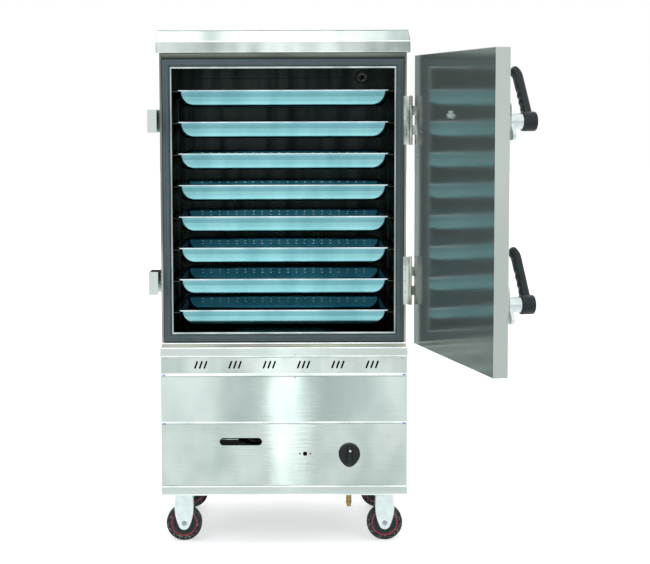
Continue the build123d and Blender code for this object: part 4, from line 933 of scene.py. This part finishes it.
def makeKnob():
    s = knobShape
    place = jointNamed["knob_turn"]["pos_m"]
    centre = np.array((place[0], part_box("control_knob")[1].y, place[2]))
    turn = np.linspace(0, 2 * pi, 96, endpoint=False)
    away = (np.degrees(turn) - 270 + 180) % 360 - 180
    reach = s["radius"] + s["point"] * np.exp(-((away / s["spread"]) ** 2))
    a = np.radians((0, 30, 60, 90))
    rows = [(0.02, 0.0), (0.98, 0.0), (1.0, 0.8)]
    rows += list(zip(0.9 + 0.1 * np.cos(a), s["skirt"] - s["skirtEdge"] * (1 - np.sin(a))))
    rows += [(0.5, s["skirt"] + 0.8), (0.02, s["skirt"] + 1.0)]
    part, height = np.array(rows).T
    x = part[:, None] * (reach * np.cos(turn))[None]
    z = part[:, None] * (reach * np.sin(turn))[None]
    y = np.repeat(-height[:, None], len(turn), 1)
    base = surface("base", np.stack([x, y, z], -1) * mm + centre, poles=True, sharp=50)
    half = (s["up"] + s["down"]) / 2
    shift = (s["up"] - s["down"]) / 2
    levels = np.array(s["levels"])
    shrink = np.array(s["shrink"])
    wide, tall = squared(turn, s["squareness"])
    x = np.maximum(s["barHalf"] - shrink, 0.3)[:, None] * wide[None]
    z = shift + (half - shrink)[:, None] * tall[None]
    y = -(s["skirt"] - 2 + levels * (s["depth"] - s["skirt"] + 2))
    dip = np.exp(-(((np.abs(x) - s["groove"]) / s["grooveSpread"]) ** 2))
    y = y[:, None] + s["grooveDepth"] * dip * (levels > 0.99)[:, None]
    bar = surface("bar", np.stack([x, y, z], -1) * mm + centre, poles=True, sharp=50)
    knob = joined("knobMoulding", [base, bar], 50)
    dress(knob, "knobNylon")
    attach(knob, "knob")
    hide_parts("control_knob")
    place = centre + np.array((1.5, -s["depth"] - 0.05, s["up"] - 12.0)) * mm
    profile = [(0.3, 0.35), (2.2, 0.3), (2.9, 0.0), (0.3, -0.6)]
    dot = turned("knobDot", profile, place, (0, -1, 0), 24)
    dress(dot, "whiteDot")
    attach(dot, "knob")


makeKnob()
print("knob made")


# The dial: a white face in the cup with a ring of ticks, no words on it. Each tick lies at an
# angle of the sweep: point = centre + r * (cos angle * side + sin angle * up) + height * out
dialShape = {
    "face": 27.6, "doorFace": 45.05, "cupFloor": 3.0, "sweep": (-45, 225), "ticks": 28,
    "tickFrom": 24.0, "tickTo": 27.0, "minorFrom": 25.4, "tickHalf": 0.55, "minorHalf": 0.3,
    "minors": 2,
}


def makeDial():
    s = dialShape
    pivot = np.array(jointNamed["pointer_turn"]["pos_m"], float)
    hinge = np.array(jointNamed["door_hinge"]["pos_m"], float)
    out, side, up = basis(jointNamed["upper_latch_turn"]["axis"])
    centre = pivot + out * ((s["doorFace"] + s["cupFloor"]) * mm - (pivot - hinge) @ out)
    rim = s["face"]
    profile = [(0.5, 0.05), (rim, 0.05), (rim, -0.2), (0.5, -0.2)]
    face = turned("dialFace", profile, centre, out, 64)
    dress(face, "dialFace")
    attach(face, "door")
    angles = np.radians(np.linspace(*s["sweep"], s["ticks"]))
    major = np.arange(s["ticks"]) % (s["minors"] + 1) == 0
    start = np.where(major, s["tickFrom"], s["minorFrom"])
    end = np.full(s["ticks"], s["tickTo"])
    half = np.where(major, s["tickHalf"], s["minorHalf"])
    ray = np.cos(angles)[:, None] * side + np.sin(angles)[:, None] * up
    across = -np.sin(angles)[:, None] * side + np.cos(angles)[:, None] * up
    corner = [(start, -half), (start, half), (end, half), (end, -half)]
    flat = np.stack([r[:, None] * ray + w[:, None] * across for r, w in corner], 1)
    solid = np.concatenate([flat + 0.05 * out, flat + 0.2 * out], 1) * mm + centre
    sides = [(k, (k + 1) % 4, (k + 1) % 4 + 4, k + 4) for k in range(4)]
    box = np.array([(3, 2, 1, 0), (4, 5, 6, 7)] + sides)
    faces = (box[None] + 8 * np.arange(s["ticks"])[:, None, None]).reshape(-1, 4)
    mesh = bpy.data.meshes.new("dialTicks")
    mesh.from_pydata(solid.reshape(-1, 3).tolist(), [], faces.tolist())
    ticks = dress(outward("dialTicks", mesh), "dialInk")
    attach(ticks, "door")


makeDial()


# Screws on the frame's two hinge leaves, three up each, in mm
leafScrews = {
    "x": 333.5, "y": -272.5, "rows": (-32.0, 0.0, 32.0),
    "heights": {"Lower": 739.25, "Upper": 1179.25},
}
for level, height in leafScrews["heights"].items():
    for row, rise in enumerate(leafScrews["rows"], 1):
        place = np.array((leafScrews["x"], leafScrews["y"], height + rise)) * mm
        screw(f"frameLeafScrew{level}{row}", place, (0, -1, 0), screwHead["leafRadius"])
print("dial and screws made")


# The rest of the solids keep their shape and take their finish
finishedNodes = {
    "capSheet": ("top_cap",),
    "sheet": ("side_panels", "rear_panel", "latch_keepers", "base_frame", "base_side_panels"),
    "chamber": ("chamber_liner", "water_tank", "steam_plate"),
    "foam": ("insulation", "door_core"),
    "frameSheet": ("front_frame",),
    "runner": ("left_rack", "right_rack"),
    "ventDark": ("steam_vent",),
    "hinge": ("frame_hinge_leaves", "door_hinge_leaves", "latch_plates", "thermometer"),
    "zinc": (
        "hinge_pins", "rigid_forks", "swivel_plates", "thermometer_nut", "upper_latch_hook",
        "lower_latch_hook", "drain_lever", "rear_left_fork", "rear_right_fork",
    ),
    "sootAndShade": ("base_rear_panel",),
    "stripSheet": ("vent_strip",),
    "upperSheet": ("upper_front_panel",),
    "lowerSheet": ("control_panel",),
    "iron": ("burner",),
    "copper": ("gas_pipe",),
    "brass": ("gas_inlet", "gas_valve", "drain_valve", "valve_spindle"),
    "boltZinc": ("front_axles", "rear_left_axle", "rear_right_axle"),
    "doorOutside": ("door_skin",),
    "doorInside": ("door_inner_panel",),
    "needle": ("thermometer_pointer",),
}
for material, nodes in finishedNodes.items():
    for node in nodes:
        dress(frame["nodes"][node], material)
print("solids dressed")


# Floor, world and lamps: a plain pale studio
studio = {
    "floorColour": "E4E7E8", "floorGlow": 0.5, "floorSize": 30.0,
    "floorFront": -0.9,     # it ends out of view, in front of the cabinet
    "fillLevel": 0.72, "slopeSpan": 0.5,
    "footNarrowing": 2.1, "footSlopes": (-0.205, -0.175),       # the panels taper to their feet
    # what shiny sheet sees in front, from left to right: sideways slope and level
    "glow": (
        (-0.5, 0.8), (-0.3, 1.05), (-0.2, 0.88), (-0.13, 1.12), (-0.085, 1.0), (-0.06, 1.14),
        (-0.046, 1.1), (-0.036, 0.92), (-0.015, 0.88), (-0.011, 1.75), (0.0135, 1.75),
        (0.0175, 0.86), (0.034, 0.9), (0.042, 1.04), (0.062, 1.08), (0.085, 0.9), (0.13, 1.1),
        (0.2, 0.86),
        (0.3, 1.0), (0.36, 0.98), (0.4, 1.22), (0.44, 1.08), (0.5, 0.8),
    ),
    # and from below to above: rising slope and what the level is multiplied by
    "rise": (
        (-0.5, 1.35), (-0.42, 1.2), (-0.32, 1.0), (-0.21, 0.98), (-0.12, 1.0), (0.0, 1.0),
        (0.1, 0.95), (0.2, 1.05), (0.32, 1.7), (0.42, 1.8), (0.5, 1.5),
    ),
    "lamps": (
        # name, place, aim, width, height, watts
        ("leftPanel", (-2.6, -3.6, 2.3), (0, 0, 0.8), 1.6, 2.4, 42),
        ("rightPanel", (2.9, -3.2, 2.2), (0, 0, 0.8), 1.4, 2.4, 30),
        ("overhead", (0.0, -0.6, 3.8), (0, -0.2, 0.5), 2.4, 2.0, 40),
    ),
}


def makeFloor():
    size = studio["floorSize"]
    near = studio["floorFront"]
    mesh = bpy.data.meshes.new("floor")
    corners = [(-size, near, 0), (size, near, 0), (size, size, 0), (-size, size, 0)]
    mesh.from_pydata(corners, [], [(0, 1, 2, 3)])
    floor = bpy.data.objects.new("floor", mesh)
    scene.collection.objects.link(floor)
    material, tree, shader = newMaterial("paleFloor", Roughness=0.55)
    shader.inputs["Base Color"].default_value = linear(studio["floorColour"])
    rays = addNode(tree, "LightPath")
    seen = addNode(
        tree, "Math", operation="MAXIMUM",
        i0=rays.outputs["Is Camera Ray"], i1=rays.outputs["Is Glossy Ray"],
    )
    glow = addNode(tree, "Math", operation="MULTIPLY", i0=seen.outputs[0], i1=studio["floorGlow"])
    light = addNode(tree, "Emission", Strength=glow.outputs[0])
    both = addNode(tree, "AddShader", i0=shader.outputs[0], i1=light.outputs[0])
    tree.links.new(both.outputs[0], tree.nodes["Material Output"].inputs["Surface"])
    mesh.materials.append(material)


# A table of (slope, level) drawn as a smooth curve over a value
def levelCurve(tree, value, table):
    span = studio["slopeSpan"]
    part = addNode(tree, "MapRange", Value=value, From_Min=-span, From_Max=span)
    curve = addNode(tree, "FloatCurve", Value=part.outputs[0])
    points = curve.mapping.curves[0].points
    top = max(level for slope, level in table)
    for slope, level in table[1:-1]:
        points.new((slope / span + 1) / 2, level / top)
    points[0].location = (0, table[0][1] / top)
    points[-1].location = (1, table[-1][1] / top)
    for point in points:
        point.handle_type = "AUTO_CLAMPED"
    curve.mapping.update()
    return addNode(tree, "Math", operation="MULTIPLY", i0=curve.outputs[0], i1=top).outputs[0]


# Cameras see plain white, dull surfaces an even fill, and shiny ones a front of soft upright
# panels, whose level follows the sideways and the rising slope of what they mirror
def makeWorld():
    world = bpy.data.worlds.new("studio")
    scene.world = world
    world.use_nodes = True
    tree = world.node_tree
    ground = tree.nodes["Background"]
    ground.inputs["Color"].default_value = (1, 1, 1, 1)
    place = addNode(tree, "TexCoord").outputs["Generated"]
    along = addNode(tree, "SeparateXYZ", Vector=place).outputs
    ahead = addNode(tree, "Math", operation="ABSOLUTE", i0=along["Y"]).outputs[0]
    ahead = addNode(tree, "Math", operation="MAXIMUM", i0=ahead, i1=0.05).outputs[0]
    sideways = addNode(tree, "Math", operation="DIVIDE", i0=along["X"], i1=ahead)
    rising = addNode(tree, "Math", operation="DIVIDE", i0=along["Z"], i1=ahead)
    lowest, highest = studio["footSlopes"]
    narrow = addNode(
        tree, "MapRange", Value=rising.outputs[0],
        From_Min=lowest, From_Max=highest, To_Min=studio["footNarrowing"], To_Max=1,
    )
    spread = addNode(
        tree, "Math", operation="MULTIPLY",
        i0=sideways.outputs[0], i1=narrow.outputs[0],
    )
    across = levelCurve(tree, spread.outputs[0], studio["glow"])
    upward = levelCurve(tree, rising.outputs[0], studio["rise"])
    panels = addNode(tree, "Math", operation="MULTIPLY", i0=across, i1=upward)
    rays = addNode(tree, "LightPath").outputs
    shiny = addNode(tree, "Mix", i0=rays["Is Glossy Ray"], i2=studio["fillLevel"])
    tree.links.new(panels.outputs[0], shiny.inputs[3])
    direct = addNode(
        tree, "Math", operation="MAXIMUM",
        i0=rays["Is Camera Ray"], i1=rays["Is Transmission Ray"],
    )
    level = addNode(tree, "Mix", i0=direct.outputs[0], i3=1.0)
    tree.links.new(shiny.outputs[0], level.inputs[2])
    tree.links.new(level.outputs[0], ground.inputs["Strength"])


def makeLamps():
    for name, place, aim, width, height, watts in studio["lamps"]:
        lamp = bpy.data.lights.new(name, "AREA")
        lamp.shape = "RECTANGLE"
        lamp.size = width
        lamp.size_y = height
        lamp.energy = watts
        thing = bpy.data.objects.new(name, lamp)
        scene.collection.objects.link(thing)
        thing.location = place
        thing.rotation_euler = (Vector(aim) - Vector(place)).to_track_quat("-Z", "Y").to_euler()
        thing.visible_glossy = False        # the sheet mirrors the world's panels instead


makeFloor()
makeWorld()
makeLamps()
print("studio lit")
